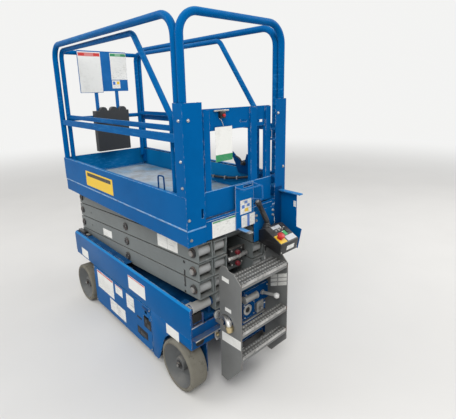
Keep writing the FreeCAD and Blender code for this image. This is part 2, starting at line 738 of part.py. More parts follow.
def rear_column():
    """Left folded sheet column beside the entry."""
    y_in = left_column_y
    y_out = column_outer_y
    x0 = platform_rear_x - gap
    face = box((x0 - 4, x0), (y_in, y_out), (skirt_bottom_z, column_top_z))
    side = box((x0 - 4, x0 + column_fold), (y_out - 3, y_out), (toe_top_z + gap, column_top_z))
    inner = box((x0 - 4, x0 + 30), (y_in, y_in + 4), (deck_top_z + 16, column_top_z))
    return fuse([face, side, inner]).cut(box((x0 - 5, x0 + 1), (y_in + 12, y_in + 26), (1070, 1118)))


def right_column():
    """Right folded sheet column, with the guard plate that shields the controls."""
    y_in = right_column_y
    y_out = column_outer_y
    x0 = platform_rear_x - gap
    face = box((x0 - 4, x0), (y_in, -y_out), (skirt_bottom_z, column_top_z))
    side = box((x0 - 4, x0 + column_fold), (-y_out + 3, -y_out), (toe_top_z + gap, column_top_z))
    outline = [(x0 - 4, 800), (-866, 751), (-892, 880), (-852, 889), (-850, shield_top_z), (x0 - 4, shield_top_z)]
    shield = side_plate(outline, shield_y)
    flange = box((-893, x0 - 4), (shield_y[0], shield_y[0] + 32), (shield_top_z - 4, shield_top_z))
    pieces = [face, side, shield, flange]
    for z in gate_hinge_z:
        pieces.append(rod((gate_x, gate_hinge_y, z - 16), (gate_x, gate_hinge_y, z + 52), gate_pin_radius))
        for low, high in ((z - 16, z - 6), (z + 46, z + 52)):
            pieces.append(box((x0 - 1, gate_x + gate_lug_radius), (-330, gate_hinge_y), (low, high)))
            pieces.append(rod((gate_x, gate_hinge_y, low), (gate_x, gate_hinge_y, high), gate_lug_radius))
    return fuse(pieces)


def gate():
    """Entry gate: a slotted top plate on three stiles, with a bottom rail behind a toe plate."""
    x = (gate_x - 12, gate_x + 12)
    y_low, y_high = gate_y
    top = box((gate_x - 3, gate_x + 3), gate_y, gate_plate_z)
    for y, z in ((-51, 1532), (-183, 1522)):
        top = top.cut(box((gate_x - 4, gate_x + 4), (y - 24, y + 24), (z - 7, z + 7)))
    stiles = [box(x, pair, (gate_bottom_z, gate_top_z - 4)) for pair in
              ((y_high - gate_stile_width, y_high), gate_middle_y, (y_low, y_low + gate_stile_width))]
    bottom = box(x, gate_y, (gate_bottom_z, gate_bottom_z + 24))
    toe = box((x[0] - toe_thickness, x[0]), (y_low, left_column_y - 6), gate_toe_z)
    tall = gate_knuckle_height
    knuckles = [box((gate_x - 6, gate_x + 6), (gate_hinge_y, y_low + 1), (z, z + tall)) for z in gate_hinge_z]
    barrels = [rod((gate_x, gate_hinge_y, z), (gate_x, gate_hinge_y, z + tall), gate_lug_radius)
               for z in gate_hinge_z]
    return fuse([top] + stiles + [bottom, toe] + knuckles + barrels).cut(
        rod((gate_x, gate_hinge_y, 1000), (gate_x, gate_hinge_y, 1700), gate_pin_radius + running_fit))


def control_box():
    """Platform control box on its hanger plate, with the joystick and the stop button."""
    plate_x = platform_rear_x - gap
    back = plate_x - 4 - gap
    outline = [(back, 892), (-786, 914), (-912, 848), (-898, 778), (back, 818)]
    body = side_plate(outline, control_y)
    boot = rod((-766, stick_y, 890), (-766, stick_y, 950), 26)
    grip = rod((-768, stick_y, 940), (-756, stick_y + 10, 1074), 16)
    button = rod((-876, -162, 862), (-891, -162, 891), 20)
    hanger = box((plate_x - 4, plate_x), hanger_y, (824, 1010))
    return Part.makeCompound([fuse([body, boot, grip, button]), hanger])


# Extension

def extension_deck():
    """Sliding deck plate with its side boards and front board."""
    y = extension_toe_y
    low = deck_top_z + gap
    plate = box((-120, extension_front_x + 10), (-y + 6, y - 6), (low, low + extension_plate))
    boards = both_sides(box((-575, front_x - 32), (y - 3, y), (low, toe_top_z - 8)))
    front = box((front_x - 4, front_x), (-platform_half_width + 1, platform_half_width - 1), (step_z + 1, toe_top_z))
    web = box((extension_front_x + 10, front_x - 4), (-y, y), (low, toe_top_z - 8))
    hollow = box((extension_front_x + 9, front_x - 4), (-y + 3, y - 3), (low + extension_plate, toe_top_z))
    return fuse([plate] + boards + [front, web.cut(hollow)])


def extension_rails():
    """Side rails with diagonals at the rear, posts and rails across the front."""
    z_top = extension_rail_z
    y = extension_y
    shapes = []
    front = extension_front_x
    foot = toe_top_z - 60
    for side in (1, -1):
        shapes.append(bent_bar([(front, side * y, foot), (front, side * y, z_top), (-230, side * y, z_top),
                                (-560, side * y, 1560), (-560, side * y, foot)], 60, extension_tube_radius))
        shapes.append(box((-560, front), (side * (y - 8), side * (y + 8)), (mid_rail_z + 26, mid_rail_z + 54)))
        for x in (-560, front):
            shapes.append(box((x - 16, x + 16), (side * (y + 10), side * (extension_toe_y - 3)),
                              (foot - 60, foot + 40)))
    shapes.append(cross_bar(extension_bar_x, z_top - 8, (-y, y), extension_tube_radius))
    shapes.append(cross_bar(front, 1494, (-y, y), extension_tube_radius))
    return fuse(shapes)


def manual_box():
    """Box for papers behind the front rails: a lower half, and a lid with three ribs over its top."""
    front = extension_front_x
    x0 = front - manual_depth
    x1 = front - extension_tube_radius - gap
    y0, y1 = manual_y
    low, seam = manual_z
    lower = box((x0 + 4, x1), (y0 + 4, y1 - 4), manual_z)
    neck = box((x0 + 8, x1), (y0 + 8, y1 - 8), (seam, seam + 5))
    lid = box((x0, x1), (y0, y1), (seam + 5, manual_top_z))
    recess = box((x0 - 1, x0 + 14), (-100, -20), (seam - 4, seam + 18))
    ribs = [rod((x0 + 2, y, manual_top_z), (x0 + 40, y, manual_top_z), 30) for y in (-118, -38, 50)]
    return fuse([lower, neck, lid] + ribs).cut(recess)


def sign_board():
    """Board hooked over the front bar, on two straps that rise from the manual box."""
    back = extension_bar_x - extension_tube_radius - gap
    face = box((back - 12, back - 6), (board_y[0], 20), (board_z[0] + 10, board_z[1]))
    sheet_plate = box((back - 12, back - 6), (20, board_y[1]), board_z)
    posts = [box((back - 8, back - 2), (y - 14, y + 14), (manual_top_z + gap, 1760)) for y in (80, -95)]
    hook = box((back - 8, back), (board_y[0], 200), (board_z[1] - 19, board_z[1] + 6))
    return fuse([face, sheet_plate, hook] + posts)


def outlet_bracket():
    """Rear outlet bracket on the sill: a slotted plate with a small shelf and a bent wire guard."""
    x0 = platform_rear_x - gap
    y0, y1 = outlet_y
    plate = box((x0 - 4, x0), outlet_y, outlet_z)
    plate = plate.cut(box((x0 - 5, x0 + 1), (y0 + 8, y0 + 78), (outlet_z[1] - 21, outlet_z[1] - 9)))
    shelf = box((-825, x0 - 4), (4, 34), (outlet_z[0], outlet_z[0] + 4))
    inside = x0 - 3
    loop = bent_bar([(inside, y1 - 5, 1180), (-785, y1 - 8, 1178), (-785, -112, 1178), (-785, -116, 1092),
                     (inside, y0 + 5, 1092)], 12, wire_radius)
    stay = rod((inside, y0 + 5, 1188), (-785, -112, 1170), wire_radius)
    return fuse([plate, shelf, loop, stay])


# Every node and the shape that it holds

nodes = {
    "chassis_frame": chassis_frame(),
    "scissor_mounts": scissor_mounts(),
    "side_panels": Part.makeCompound(both_sides(side_panel())),
    "rear_panel": rear_panel(),
    "front_panel": front_panel(),
    "ladder": ladder(),
    "rear_unit": rear_unit(),
    "tray_left": tray(),
    "tray_right": mirror_y(tray()),
    "battery_pack": battery_pack(),
    "hydraulic_unit": hydraulic_unit(),
    "pothole_guard_left": pothole_guard(),
    "pothole_guard_right": mirror_y(pothole_guard()),
    "knuckle_left": knuckle(),
    "knuckle_right": mirror_y(knuckle()),
    "tie_rod": tie_rod(),
    "lift_barrel": lift_barrel(),
    "lift_rod": lift_rod(),
    "platform_deck": platform_deck(),
    "toe_boards": Part.makeCompound(both_sides(toe_board())),
    "main_rails": Part.makeCompound(both_sides(main_rail())),
    "rear_hoop": rear_hoop(),
    "rear_column_left": rear_column(),
    "rear_column_right": right_column(),
    "gate": gate(),
    "control_box": control_box(),
    "outlet_bracket": outlet_bracket(),
    "extension_deck": extension_deck(),
    "extension_rails": extension_rails(),
    "manual_box": manual_box(),
    "sign_board": sign_board(),
}
for stage in range(1, stages + 1):
    nodes["inner_arm_%d" % stage] = inner_arm(stage)
    nodes["outer_arm_%d" % stage] = outer_arm(stage)
for place, x, side in (("front_left", front_axle_x, 1), ("front_right", front_axle_x, -1),
                       ("rear_left", rear_axle_x, 1), ("rear_right", rear_axle_x, -1)):
    for name, shape in (("tyre_", tyre(x)), ("rim_", rim(x))):
        nodes[name + place] = shape if side == 1 else mirror_y(shape)

for name, shape in nodes.items():
    shape.exportStep("parts/%s.step" % name)
print(len(nodes), "nodes")
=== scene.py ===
import bpy
import bmesh
import math
from mathutils import Matrix, Vector


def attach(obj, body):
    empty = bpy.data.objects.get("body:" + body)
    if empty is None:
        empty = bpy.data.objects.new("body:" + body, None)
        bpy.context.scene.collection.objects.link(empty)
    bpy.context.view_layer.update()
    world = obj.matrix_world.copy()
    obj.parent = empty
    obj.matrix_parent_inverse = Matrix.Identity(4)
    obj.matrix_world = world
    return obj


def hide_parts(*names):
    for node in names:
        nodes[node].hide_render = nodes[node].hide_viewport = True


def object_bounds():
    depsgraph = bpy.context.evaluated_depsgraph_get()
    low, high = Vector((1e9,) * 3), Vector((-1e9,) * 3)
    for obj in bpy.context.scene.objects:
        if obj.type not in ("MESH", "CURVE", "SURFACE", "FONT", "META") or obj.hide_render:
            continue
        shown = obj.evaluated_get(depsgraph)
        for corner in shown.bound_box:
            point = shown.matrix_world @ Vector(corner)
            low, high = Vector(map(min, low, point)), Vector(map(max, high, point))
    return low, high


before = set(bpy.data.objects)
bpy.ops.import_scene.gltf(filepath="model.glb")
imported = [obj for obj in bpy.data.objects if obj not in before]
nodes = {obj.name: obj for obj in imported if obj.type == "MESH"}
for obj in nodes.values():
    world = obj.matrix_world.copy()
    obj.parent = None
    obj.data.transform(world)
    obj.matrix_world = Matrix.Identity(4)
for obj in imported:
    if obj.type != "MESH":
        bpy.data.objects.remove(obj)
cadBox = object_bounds()
bpy.context.scene.view_settings.view_transform = "Standard"
print("frame loaded,", len(nodes), "nodes")


# nodes and links

def plug(tree, socket, value):
    if isinstance(value, bpy.types.NodeSocket):
        tree.links.new(value, socket)
    else:
        socket.default_value = value


def addNode(tree, kind, inputs=None, **settings):
    node = tree.nodes.new("ShaderNode" + kind)
    for key, value in settings.items():
        setattr(node, key, value)
    for key, value in (inputs or {}).items():
        plug(tree, node.inputs[key], value)
    return node


def rgba(color):
    return (*color, 1)


def calc(tree, operation, first, second, **settings):
    return addNode(tree, "Math", {0: first, 1: second}, operation=operation, **settings).outputs[0]


def remap(tree, value, start, end, **settings):
    return addNode(tree, "MapRange", {"Value": value, "From Min": start, "From Max": end}, **settings).outputs[0]


def objectPlace(tree):
    return addNode(tree, "TexCoord").outputs["Object"]


def noise(tree, scale, detail, roughness=0.5, place=None):
    inputs = {"Vector": place or objectPlace(tree), "Scale": scale, "Detail": detail, "Roughness": roughness}
    return addNode(tree, "TexNoise", inputs).outputs[0]


def blend(tree, factor, low, high):
    low, high = (v if isinstance(v, bpy.types.NodeSocket) else rgba(v) for v in (low, high))
    return addNode(tree, "Mix", {"Factor": factor, 6: low, 7: high}, data_type="RGBA").outputs[2]


def blendValue(tree, factor, low, high):
    return addNode(tree, "Mix", {"Factor": factor, 2: low, 3: high}, data_type="FLOAT").outputs[0]


def freshTree(owner):
    owner.use_nodes = True
    owner.node_tree.nodes.clear()
    return owner.node_tree


def addObject(name, data):
    obj = bpy.data.objects.new(name, data)
    bpy.context.collection.objects.link(obj)
    return obj


def makeMesh(name, bm):
    mesh = bpy.data.meshes.new(name)
    bm.to_mesh(mesh)
    bm.free()
    return mesh


# camera, light and floor

cameraSetup = {
    "place": (-2.109, 1.351, 1.697),
    "yaw": -42.34, "pitch": -13.93, "roll": -1.17,     # degrees, yaw from +X
    "lens": 28.9, "sensor": 36, "shiftY": -0.0647,
}


def makeCamera(setup):
    yaw, pitch, roll = (math.radians(setup[k]) for k in ("yaw", "pitch", "roll"))
    forward = Vector((math.cos(pitch) * math.cos(yaw), math.cos(pitch) * math.sin(yaw), math.sin(pitch)))
    right = Vector((math.sin(yaw), -math.cos(yaw), 0))
    up = right.cross(forward)
    tiltedRight = right * math.cos(roll) + up * math.sin(roll)
    tiltedUp = up * math.cos(roll) - right * math.sin(roll)
    data = bpy.data.cameras.new("camera")
    data.lens = setup["lens"]
    data.sensor_width = setup["sensor"]
    data.shift_y = setup["shiftY"]
    camera = addObject("camera", data)
    turn = Matrix((tiltedRight, tiltedUp, -forward)).transposed().to_4x4()
    camera.matrix_world = Matrix.Translation(setup["place"]) @ turn
    bpy.context.scene.camera = camera


studio = {
    "backdrop": (0.9, 0.9, 0.89),
    "floor": (0.7, 0.69, 0.67), "floorShades": (0.95, 1.05), "floorRough": 0.75, "floorRadius": 40,
    "floorFade": (4, 11),      # metres from the middle
    "worldLight": 0.62,
    "lamps": [                     # place, aim, size, watts
        ((-3.5, 3, 5.2), (0, 0, 0.9), 3.2, 210),
        ((3.2, 3.6, 4.4), (0, 0, 0.8), 3, 90),
        ((-2.5, -4.2, 4), (0, 0, 0.8), 3, 110),
    ],
}


def makeWorld(setup):
    world = bpy.data.worlds.new("studioWorld")
    bpy.context.scene.world = world
    tree = freshTree(world)
    rays = addNode(tree, "LightPath").outputs
    seen = calc(tree, "MAXIMUM", rays["Is Camera Ray"], rays["Is Glossy Ray"])
    seenToo = calc(tree, "MAXIMUM", seen, rays["Is Transmission Ray"])
    lit = addNode(tree, "Background", {"Color": (1, 1, 1, 1), "Strength": setup["worldLight"]})
    shown = addNode(tree, "Background", {"Color": rgba(setup["backdrop"]), "Strength": 1})
    mix = addNode(tree, "MixShader", {0: seenToo, 1: lit.outputs[0], 2: shown.outputs[0]})
    addNode(tree, "OutputWorld", {0: mix.outputs[0]})


def makeLamps(rows):
    for index, (place, aim, size, watts) in enumerate(rows):
        data = bpy.data.lights.new("softbox%d" % index, "AREA")
        data.shape = "SQUARE"
        data.size = size
        data.energy = watts
        lamp = addObject("softbox%d" % index, data)
        lamp.location = place
        lamp.rotation_euler = (Vector(aim) - Vector(place)).to_track_quat("-Z", "Y").to_euler()


def makeFloor(setup):
    # matte near the machine, and as bright as the backdrop far away
    bm = bmesh.new()
    bmesh.ops.create_circle(bm, cap_ends=True, segments=96, radius=setup["floorRadius"])
    floor = addObject("floor", makeMesh("floor", bm))
    floor.location = (0, 0, cadBox[0].z)
    paint = bpy.data.materials.new("floorPaint")
    tree = freshTree(paint)
    reach = addNode(tree, "VectorMath", {0: objectPlace(tree)}, operation="LENGTH").outputs["Value"]
    fade = remap(tree, reach, *setup["floorFade"], interpolation_type="SMOOTHSTEP")
    far = calc(tree, "MULTIPLY", fade, addNode(tree, "LightPath").outputs["Is Camera Ray"])
    shades = [[min(1, c * shade) for c in setup["floor"]] for shade in setup["floorShades"]]
    tone = blend(tree, noise(tree, 1.3, 5), *shades)
    matte = addNode(tree, "BsdfPrincipled", {"Base Color": tone, "Roughness": setup["floorRough"]})
    glow = addNode(tree, "Emission", {"Color": rgba(setup["backdrop"]), "Strength": 1})
    mix = addNode(tree, "MixShader", {0: far, 1: matte.outputs[0], 2: glow.outputs[0]})
    addNode(tree, "OutputMaterial", {0: mix.outputs[0]})
    floor.data.materials.append(paint)


makeCamera(cameraSetup)
makeWorld(studio)
makeLamps(studio["lamps"])
makeFloor(studio)
print("camera and studio ready")


# masks shared by the materials

def newMask(name, **inputs):
    tree = bpy.data.node_groups.new(name, "ShaderNodeTree")
    for label, value in inputs.items():
        socket = tree.interface.new_socket(name=label, in_out="INPUT", socket_type="NodeSocketFloat")
        socket.default_value = value
    tree.interface.new_socket(name="Mask", in_out="OUTPUT", socket_type="NodeSocketFloat")
    return tree, tree.nodes.new("NodeGroupInput").outputs, tree.nodes.new("NodeGroupOutput").inputs[0]


def useMask(tree, group, **inputs):
    return addNode(tree, "Group", inputs, node_tree=group).outputs["Mask"]


def makeEdgeWear():
    # bare metal where the paint has rubbed off sharp edges
    tree, given, result = newMask("edgeWear", Radius=0.004, Amount=0.5, Scale=30)
    rounded = addNode(tree, "Bevel", {"Radius": given["Radius"]}, samples=4)
    flat = addNode(tree, "NewGeometry")
    same = addNode(tree, "VectorMath", {0: rounded.outputs[0], 1: flat.outputs["Normal"]}, operation="DOT_PRODUCT")
    edge = remap(tree, same.outputs["Value"], 0.995, 0.86)
    needed = calc(tree, "SUBTRACT", 1, given["Amount"])
    broken = remap(tree, noise(tree, given["Scale"], 6, 0.65), needed, calc(tree, "ADD", needed, 0.12))
    tree.links.new(calc(tree, "MULTIPLY", edge, broken, use_clamp=True), result)
    return tree


def makeStains():
    # soft blotches of two sizes
    tree, given, result = newMask("stains", Scale=4, Amount=0.4, Softness=0.2)
    large = noise(tree, given["Scale"], 8, 0.6)
    small = noise(tree, calc(tree, "MULTIPLY", given["Scale"], 5.3), 5, 0.7)
    start = calc(tree, "SUBTRACT", 0.85, given["Amount"])
    end = calc(tree, "ADD", start, given["Softness"])
    tree.links.new(remap(tree, blendValue(tree, 0.35, large, small), start, end), result)
    return tree


def makeScuffs():
    # long thin rubs, mostly level
    tree, given, result = newMask("scuffs", Scale=6, Amount=0.3)
    stretch = addNode(tree, "Mapping", {"Vector": objectPlace(tree), "Scale": (1, 3, 14)})
    lines = noise(tree, given["Scale"], 7, 0.75, stretch.outputs[0])
    start = calc(tree, "SUBTRACT", 0.86, given["Amount"])
    thin = remap(tree, lines, start, calc(tree, "ADD", start, 0.09))
    area = remap(tree, noise(tree, 2.3, 2), 0.45, 0.6)
    tree.links.new(calc(tree, "MULTIPLY", thin, area), result)
    return tree


def makeDustAndSheen():
    # mask of what faces up: real dust on the grey paints, deck and plastics, a painted highlight of the ceiling lights
    # on the blue paints
    tree, given, result = newMask("dust", Amount=0.4)
    split = addNode(tree, "SeparateXYZ", {0: addNode(tree, "NewGeometry").outputs["Normal"]})
    up = remap(tree, split.outputs["Z"], 0.35, 0.95)
    patchy = remap(tree, noise(tree, 9, 6, 0.6), 0.35, 0.65)
    both = calc(tree, "MULTIPLY", up, patchy)
    tree.links.new(calc(tree, "MULTIPLY", both, given["Amount"]), result)
    return tree


def makeShadeAndGrime():
    # painted shade and grime in corners: darker where ambient occlusion finds hollows
    tree, given, result = newMask("shadeAndGrime", Amount=0.5)
    hollow = addNode(tree, "AmbientOcclusion", {"Distance": 0.05}, samples=4)
    deep = remap(tree, hollow.outputs["AO"], 0.75, 0.2)
    patchy = remap(tree, noise(tree, 18, 5), 0.3, 0.6)
    both = calc(tree, "MULTIPLY", deep, patchy)
    tree.links.new(calc(tree, "MULTIPLY", both, given["Amount"]), result)
    return tree


def makePanel():
    # a rectangle of the UV square
    tree, given, result = newMask("panelMask", U0=0.5, U1=0.5, V0=0.5, V1=0.5)
    split = addNode(tree, "SeparateXYZ", {0: addNode(tree, "UVMap").outputs[0]}).outputs
    inside = []
    for axis, low, high in (("X", "U0", "U1"), ("Y", "V0", "V1")):
        above = calc(tree, "GREATER_THAN", split[axis], given[low])
        inside.append(calc(tree, "MULTIPLY", above, calc(tree, "LESS_THAN", split[axis], given[high])))
    tree.links.new(calc(tree, "MULTIPLY", *inside), result)
    return tree


edgeWear = makeEdgeWear()
stains = makeStains()
scuffs = makeScuffs()
dust = makeDustAndSheen()
shadeAndGrime = makeShadeAndGrime()
panelMask = makePanel()


# materials

def freshMaterial(name):
    material = bpy.data.materials.new(name)
    tree = freshTree(material)
    shader = addNode(tree, "BsdfPrincipled")
    addNode(tree, "OutputMaterial", {0: shader.outputs[0]})
    return material, tree, shader


def dress(tree, shader, inputs, height, strength, distance):
    # the shader's inputs, and a bump of that height map
    bump = addNode(tree, "Bump", {"Height": height, "Strength": strength, "Distance": distance})
    for key, value in {**inputs, "Normal": bump.outputs[0]}.items():
        plug(tree, shader.inputs[key], value)


paintDefaults = {
    "color": (0.0003, 0.099, 0.31),
    "deep": (0.0002, 0.074, 0.24),        # shade of the blotches
    "worn": (0.42, 0.47, 0.52),            # bare or rubbed edges
    "scuff": (0.03, 0.21, 0.48),
    "rust": (0.16, 0.055, 0.018),
    # painted reflection of the ceiling lights on faces that look up; the grey, deck and shelf paints set a real dust
    # colour here
    "dustColor": (0.06, 0.27, 0.5),
    "gloss": 0.32,
    "edge": 0.5, "edgeRadius": 0.0035,
    "rustAmount": 0.16, "scuffAmount": 0.19, "dustAmount": 0.45, "shadeAndGrimeAmount": 0.6,
    "metal": 0, "shine": 0.05, "shineTint": (0.1, 0.6, 1),
}
greyBase = {"shineTint": (1, 1, 1), "dustColor": (0.36, 0.34, 0.3), "shine": 0.4}
paleBase = {**greyBase, "worn": (0.6, 0.6, 0.58), "scuff": (0.5, 0.5, 0.49)}
deckBase = {**greyBase, "dustColor": (0.2, 0.165, 0.125)}


def paintedSteel(name, **changes):
    values = {**paintDefaults, **changes}
    material, tree, shader = freshMaterial(name)
    blotch = useMask(tree, stains, Scale=2.2, Amount=0.42, Softness=0.35)
    base = blend(tree, blotch, values["color"], values["deep"])
    rub = useMask(tree, scuffs, Scale=7, Amount=values["scuffAmount"])
    rubbed = blend(tree, blendValue(tree, rub, 0, 0.65), base, values["scuff"])
    # faces that look up take the dust and sheen tone: a painted highlight on the blue paints, dust on the others
    facingUp = useMask(tree, dust, Amount=values["dustAmount"])
    upwardTone = blend(tree, facingUp, rubbed, values["dustColor"])
    # painted shade and grime in the hollows, in a dark tone of the up-facing colour
    corner = useMask(tree, shadeAndGrime, Amount=values["shadeAndGrimeAmount"])
    shadedAndGrimy = blend(tree, corner, upwardTone, [c * 0.25 for c in values["dustColor"]])
    edge = useMask(tree, edgeWear, Radius=values["edgeRadius"], Amount=values["edge"])
    worn = blend(tree, edge, shadedAndGrimy, values["worn"])
    rustSpot = useMask(tree, stains, Scale=13, Amount=values["rustAmount"] + 0.13, Softness=0.05)
    rustHere = calc(tree, "MULTIPLY", rustSpot, edge)
    rough = blendValue(tree, facingUp, blendValue(tree, rub, values["gloss"], 0.5), 0.75)
    peel = blendValue(tree, 0.25, noise(tree, 9, 2), noise(tree, 160, 2))
    dress(tree, shader, {
        "Base Color": blend(tree, rustHere, worn, values["rust"]),
        "Roughness": blendValue(tree, rustHere, rough, 0.85),
        "Metallic": values["metal"],
        "Specular IOR Level": values["shine"],
        "Specular Tint": rgba(values["shineTint"]),
    }, calc(tree, "SUBTRACT", peel, edge), 0.25, 0.0012)
    return material


rubberLook = {"color": (0.168, 0.158, 0.128), "patch": (0.12, 0.112, 0.088), "marks": (0.07, 0.066, 0.052),
    "edge": (0.3, 0.29, 0.25), "rough": 0.85}


def makeRubber(name, look):
    material, tree, shader = freshMaterial(name)
    patch = useMask(tree, stains, Scale=7, Amount=0.42, Softness=0.3)
    marks = useMask(tree, stains, Scale=28, Amount=0.3, Softness=0.1)
    edge = useMask(tree, edgeWear, Radius=0.006, Amount=0.6, Scale=18)
    marked = blend(tree, marks, blend(tree, patch, look["color"], look["patch"]), look["marks"])
    inputs = {"Base Color": blend(tree, edge, marked, look["edge"]), "Roughness": look["rough"]}
    dress(tree, shader, inputs, noise(tree, 90, 6), 0.35, 0.002)
    return material


def makePlastic(name, color, rough=0.5, upwardTone=0.3):
    material, tree, shader = freshMaterial(name)
    facingUp = useMask(tree, dust, Amount=upwardTone)
    rub = useMask(tree, scuffs, Scale=11, Amount=0.3)
    base = blend(tree, blendValue(tree, rub, 0, 0.5), color, [min(1, c * 1.8 + 0.05) for c in color])
    inputs = {"Base Color": blend(tree, facingUp, base, (0.35, 0.33, 0.3)), "Roughness": rough}
    dress(tree, shader, inputs, noise(tree, 220, 3), 0.3, 0.0006)
    return material


def makeMetal(name, color, rough, dirty=0.35):
    material, tree, shader = freshMaterial(name)
    patch = useMask(tree, stains, Scale=9, Amount=dirty, Softness=0.2)
    dull = blendValue(tree, patch, rough, min(1, rough + 0.3))
    inputs = {"Base Color": blend(tree, patch, color, [c * 0.4 for c in color]), "Metallic": 0.9, "Roughness": dull}
    dress(tree, shader, inputs, noise(tree, 120, 4), 0.2, 0.0006)
    return material


def makeLabel(name, base, bands=(), dirt=0.36, rough=0.42):
    # blank sheet with plain coloured bands; a band is (u0, u1, v0, v1, colour)
    material, tree, shader = freshMaterial(name)
    color = base
    for u0, u1, v0, v1, bandColor in bands:
        color = blend(tree, useMask(tree, panelMask, U0=u0, U1=u1, V0=v0, V1=v1), color, bandColor)
    fade = useMask(tree, stains, Scale=9, Amount=dirt, Softness=0.3)
    faded = blend(tree, blendValue(tree, fade, 0, 0.55), color, (0.42, 0.4, 0.36))
    rub = useMask(tree, scuffs, Scale=14, Amount=0.34)
    rubbed = blend(tree, blendValue(tree, rub, 0, 0.7), faded, (0.25, 0.25, 0.25))
    dress(tree, shader, {"Base Color": rubbed, "Roughness": rough}, noise(tree, 60, 4), 0.2, 0.0006)
    return material


bluePaint = paintedSteel("bluePaint")
railPaint = paintedSteel("railPaint", edge=0.35, scuffAmount=0.33, rustAmount=0.1)
shelfPaint = paintedSteel("shelfPaint", color=(0.0005, 0.075, 0.25), deep=(0.02, 0.045, 0.09), edge=0.62,
    rustAmount=0.55, dustAmount=0.7, dustColor=(0.13, 0.14, 0.14))
# dark navy: painted shade of the space behind the side panels
paintedShadeBlue = paintedSteel("paintedShadeBlue", color=(0.0004, 0.036, 0.13), deep=(0.0003, 0.024, 0.09), dustAmount=0.2)
unitBlue = paintedSteel("unitBlue", color=(0.0005, 0.055, 0.19), deep=(0.0004, 0.036, 0.13), dustAmount=0.3,
    edge=0.6)
sillPaint = paintedSteel("sillPaint", color=(0.004, 0.165, 0.4), deep=(0.002, 0.115, 0.31), edge=0.6,
    scuffAmount=0.35)
outletPaint = paintedSteel("outletPaint", color=(0.0006, 0.105, 0.33), deep=(0.001, 0.125, 0.35), edge=0.8,
    scuffAmount=0.28)
boardPaint = paintedSteel("boardPaint", color=(0.02, 0.14, 0.4), edge=0.2, rustAmount=0, dustAmount=0.1)
# light blue for painted highlights on edges and ledges that face the ceiling lights
highlightBlue = paintedSteel("highlightBlue", color=(0.1, 0.3, 0.6), deep=(0.05, 0.2, 0.45), edge=0.6)
# lighter blue for the rolled bends, folds and beads: a painted highlight
bendHighlight = paintedSteel("bendHighlight", color=(0.006, 0.19, 0.5), deep=(0.004, 0.15, 0.42), edge=0.6)
shadeBlue = paintedSteel("shadeBlue", color=(0.0005, 0.045, 0.16), deep=(0.0004, 0.03, 0.11), edge=0.3,
    dustAmount=0.15)
greyPaint = paintedSteel("greyPaint", **greyBase, color=(0.16, 0.165, 0.163), deep=(0.112, 0.113, 0.11),
    worn=(0.45, 0.43, 0.4), scuff=(0.42, 0.41, 0.38), gloss=0.45, rustAmount=0.42)
armPaint = paintedSteel("armPaint", **greyBase, color=(0.15, 0.167, 0.167), deep=(0.108, 0.118, 0.118),
    worn=(0.5, 0.5, 0.49), scuff=(0.36, 0.36, 0.35), gloss=0.48, edge=0.45,
    rustAmount=0.14, scuffAmount=0.26)
blackPaint = paintedSteel("blackPaint", **greyBase, color=(0.018, 0.018, 0.02), deep=(0.012, 0.012, 0.012),
    worn=(0.2, 0.2, 0.2), scuff=(0.08, 0.08, 0.08), gloss=0.45, rustAmount=0.3)
deckMetal = paintedSteel("deckMetal", **deckBase, color=(0.13, 0.33, 0.5), deep=(0.36, 0.44, 0.5),
    worn=(0.6, 0.6, 0.6), scuff=(0.62, 0.65, 0.68), gloss=0.42, scuffAmount=0.6,
    dustAmount=0.62)
rimPaint = paintedSteel("rimPaint", **greyBase, color=(0.095, 0.1, 0.1), deep=(0.06, 0.062, 0.062),
    worn=(0.3, 0.3, 0.3), scuff=(0.25, 0.25, 0.24), gloss=0.5, rustAmount=0.3)
pinGrey = paintedSteel("pinGrey", **paleBase, color=(0.26, 0.265, 0.26), deep=(0.1, 0.1, 0.098), gloss=0.42,
    edge=0.6, rustAmount=0.4, metal=0.2)
sleevePaint = paintedSteel("sleevePaint", **paleBase, color=(0.34, 0.35, 0.35), deep=(0.22, 0.22, 0.215), gloss=0.4,
    rustAmount=0.3)
silverPaint = paintedSteel("silverPaint", **{**paleBase, "scuff": (0.6, 0.6, 0.58)}, color=(0.42, 0.42, 0.41),
    deep=(0.3, 0.3, 0.29), gloss=0.36, edge=0.4, rustAmount=0.35, metal=0.3)

solidRubber = makeRubber("solidRubber", rubberLook)
blackPlastic = makePlastic("blackPlastic", (0.012, 0.012, 0.013), 0.38, 0.15)
greyPlastic = makePlastic("greyPlastic", (0.02, 0.022, 0.025), 0.55, 0.6)
redPlastic = makePlastic("redPlastic", (0.5, 0.012, 0.01), 0.35, 0.15)
yellowPlastic = makePlastic("yellowPlastic", (0.78, 0.5, 0.02), 0.4, 0.15)
whitePlastic = makePlastic("whitePlastic", (0.7, 0.7, 0.68), 0.4, 0.3)
greenPlastic = makePlastic("greenPlastic", (0.03, 0.35, 0.1), 0.4, 0.1)
# near black for the insides of holes, slots and openings: painted shade
holeShade = makePlastic("holeShade", (0.004, 0.004, 0.004), 0.8, 0)
darkRed = makePlastic("darkRed", (0.15, 0.004, 0.012), 0.5, 0.3)
chromeRod = makeMetal("chromeRod", (0.72, 0.73, 0.75), 0.12, 0.15)
wornSteel = makeMetal("wornSteel", (0.62, 0.61, 0.59), 0.33, 0.42)
treadSteel = makeMetal("treadSteel", (0.58, 0.575, 0.56), 0.42, 0.4)
stepSteel = makeMetal("stepSteel", (0.5, 0.5, 0.48), 0.5, 0.56)
brass = makeMetal("brass", (0.55, 0.45, 0.26), 0.35, 0.4)

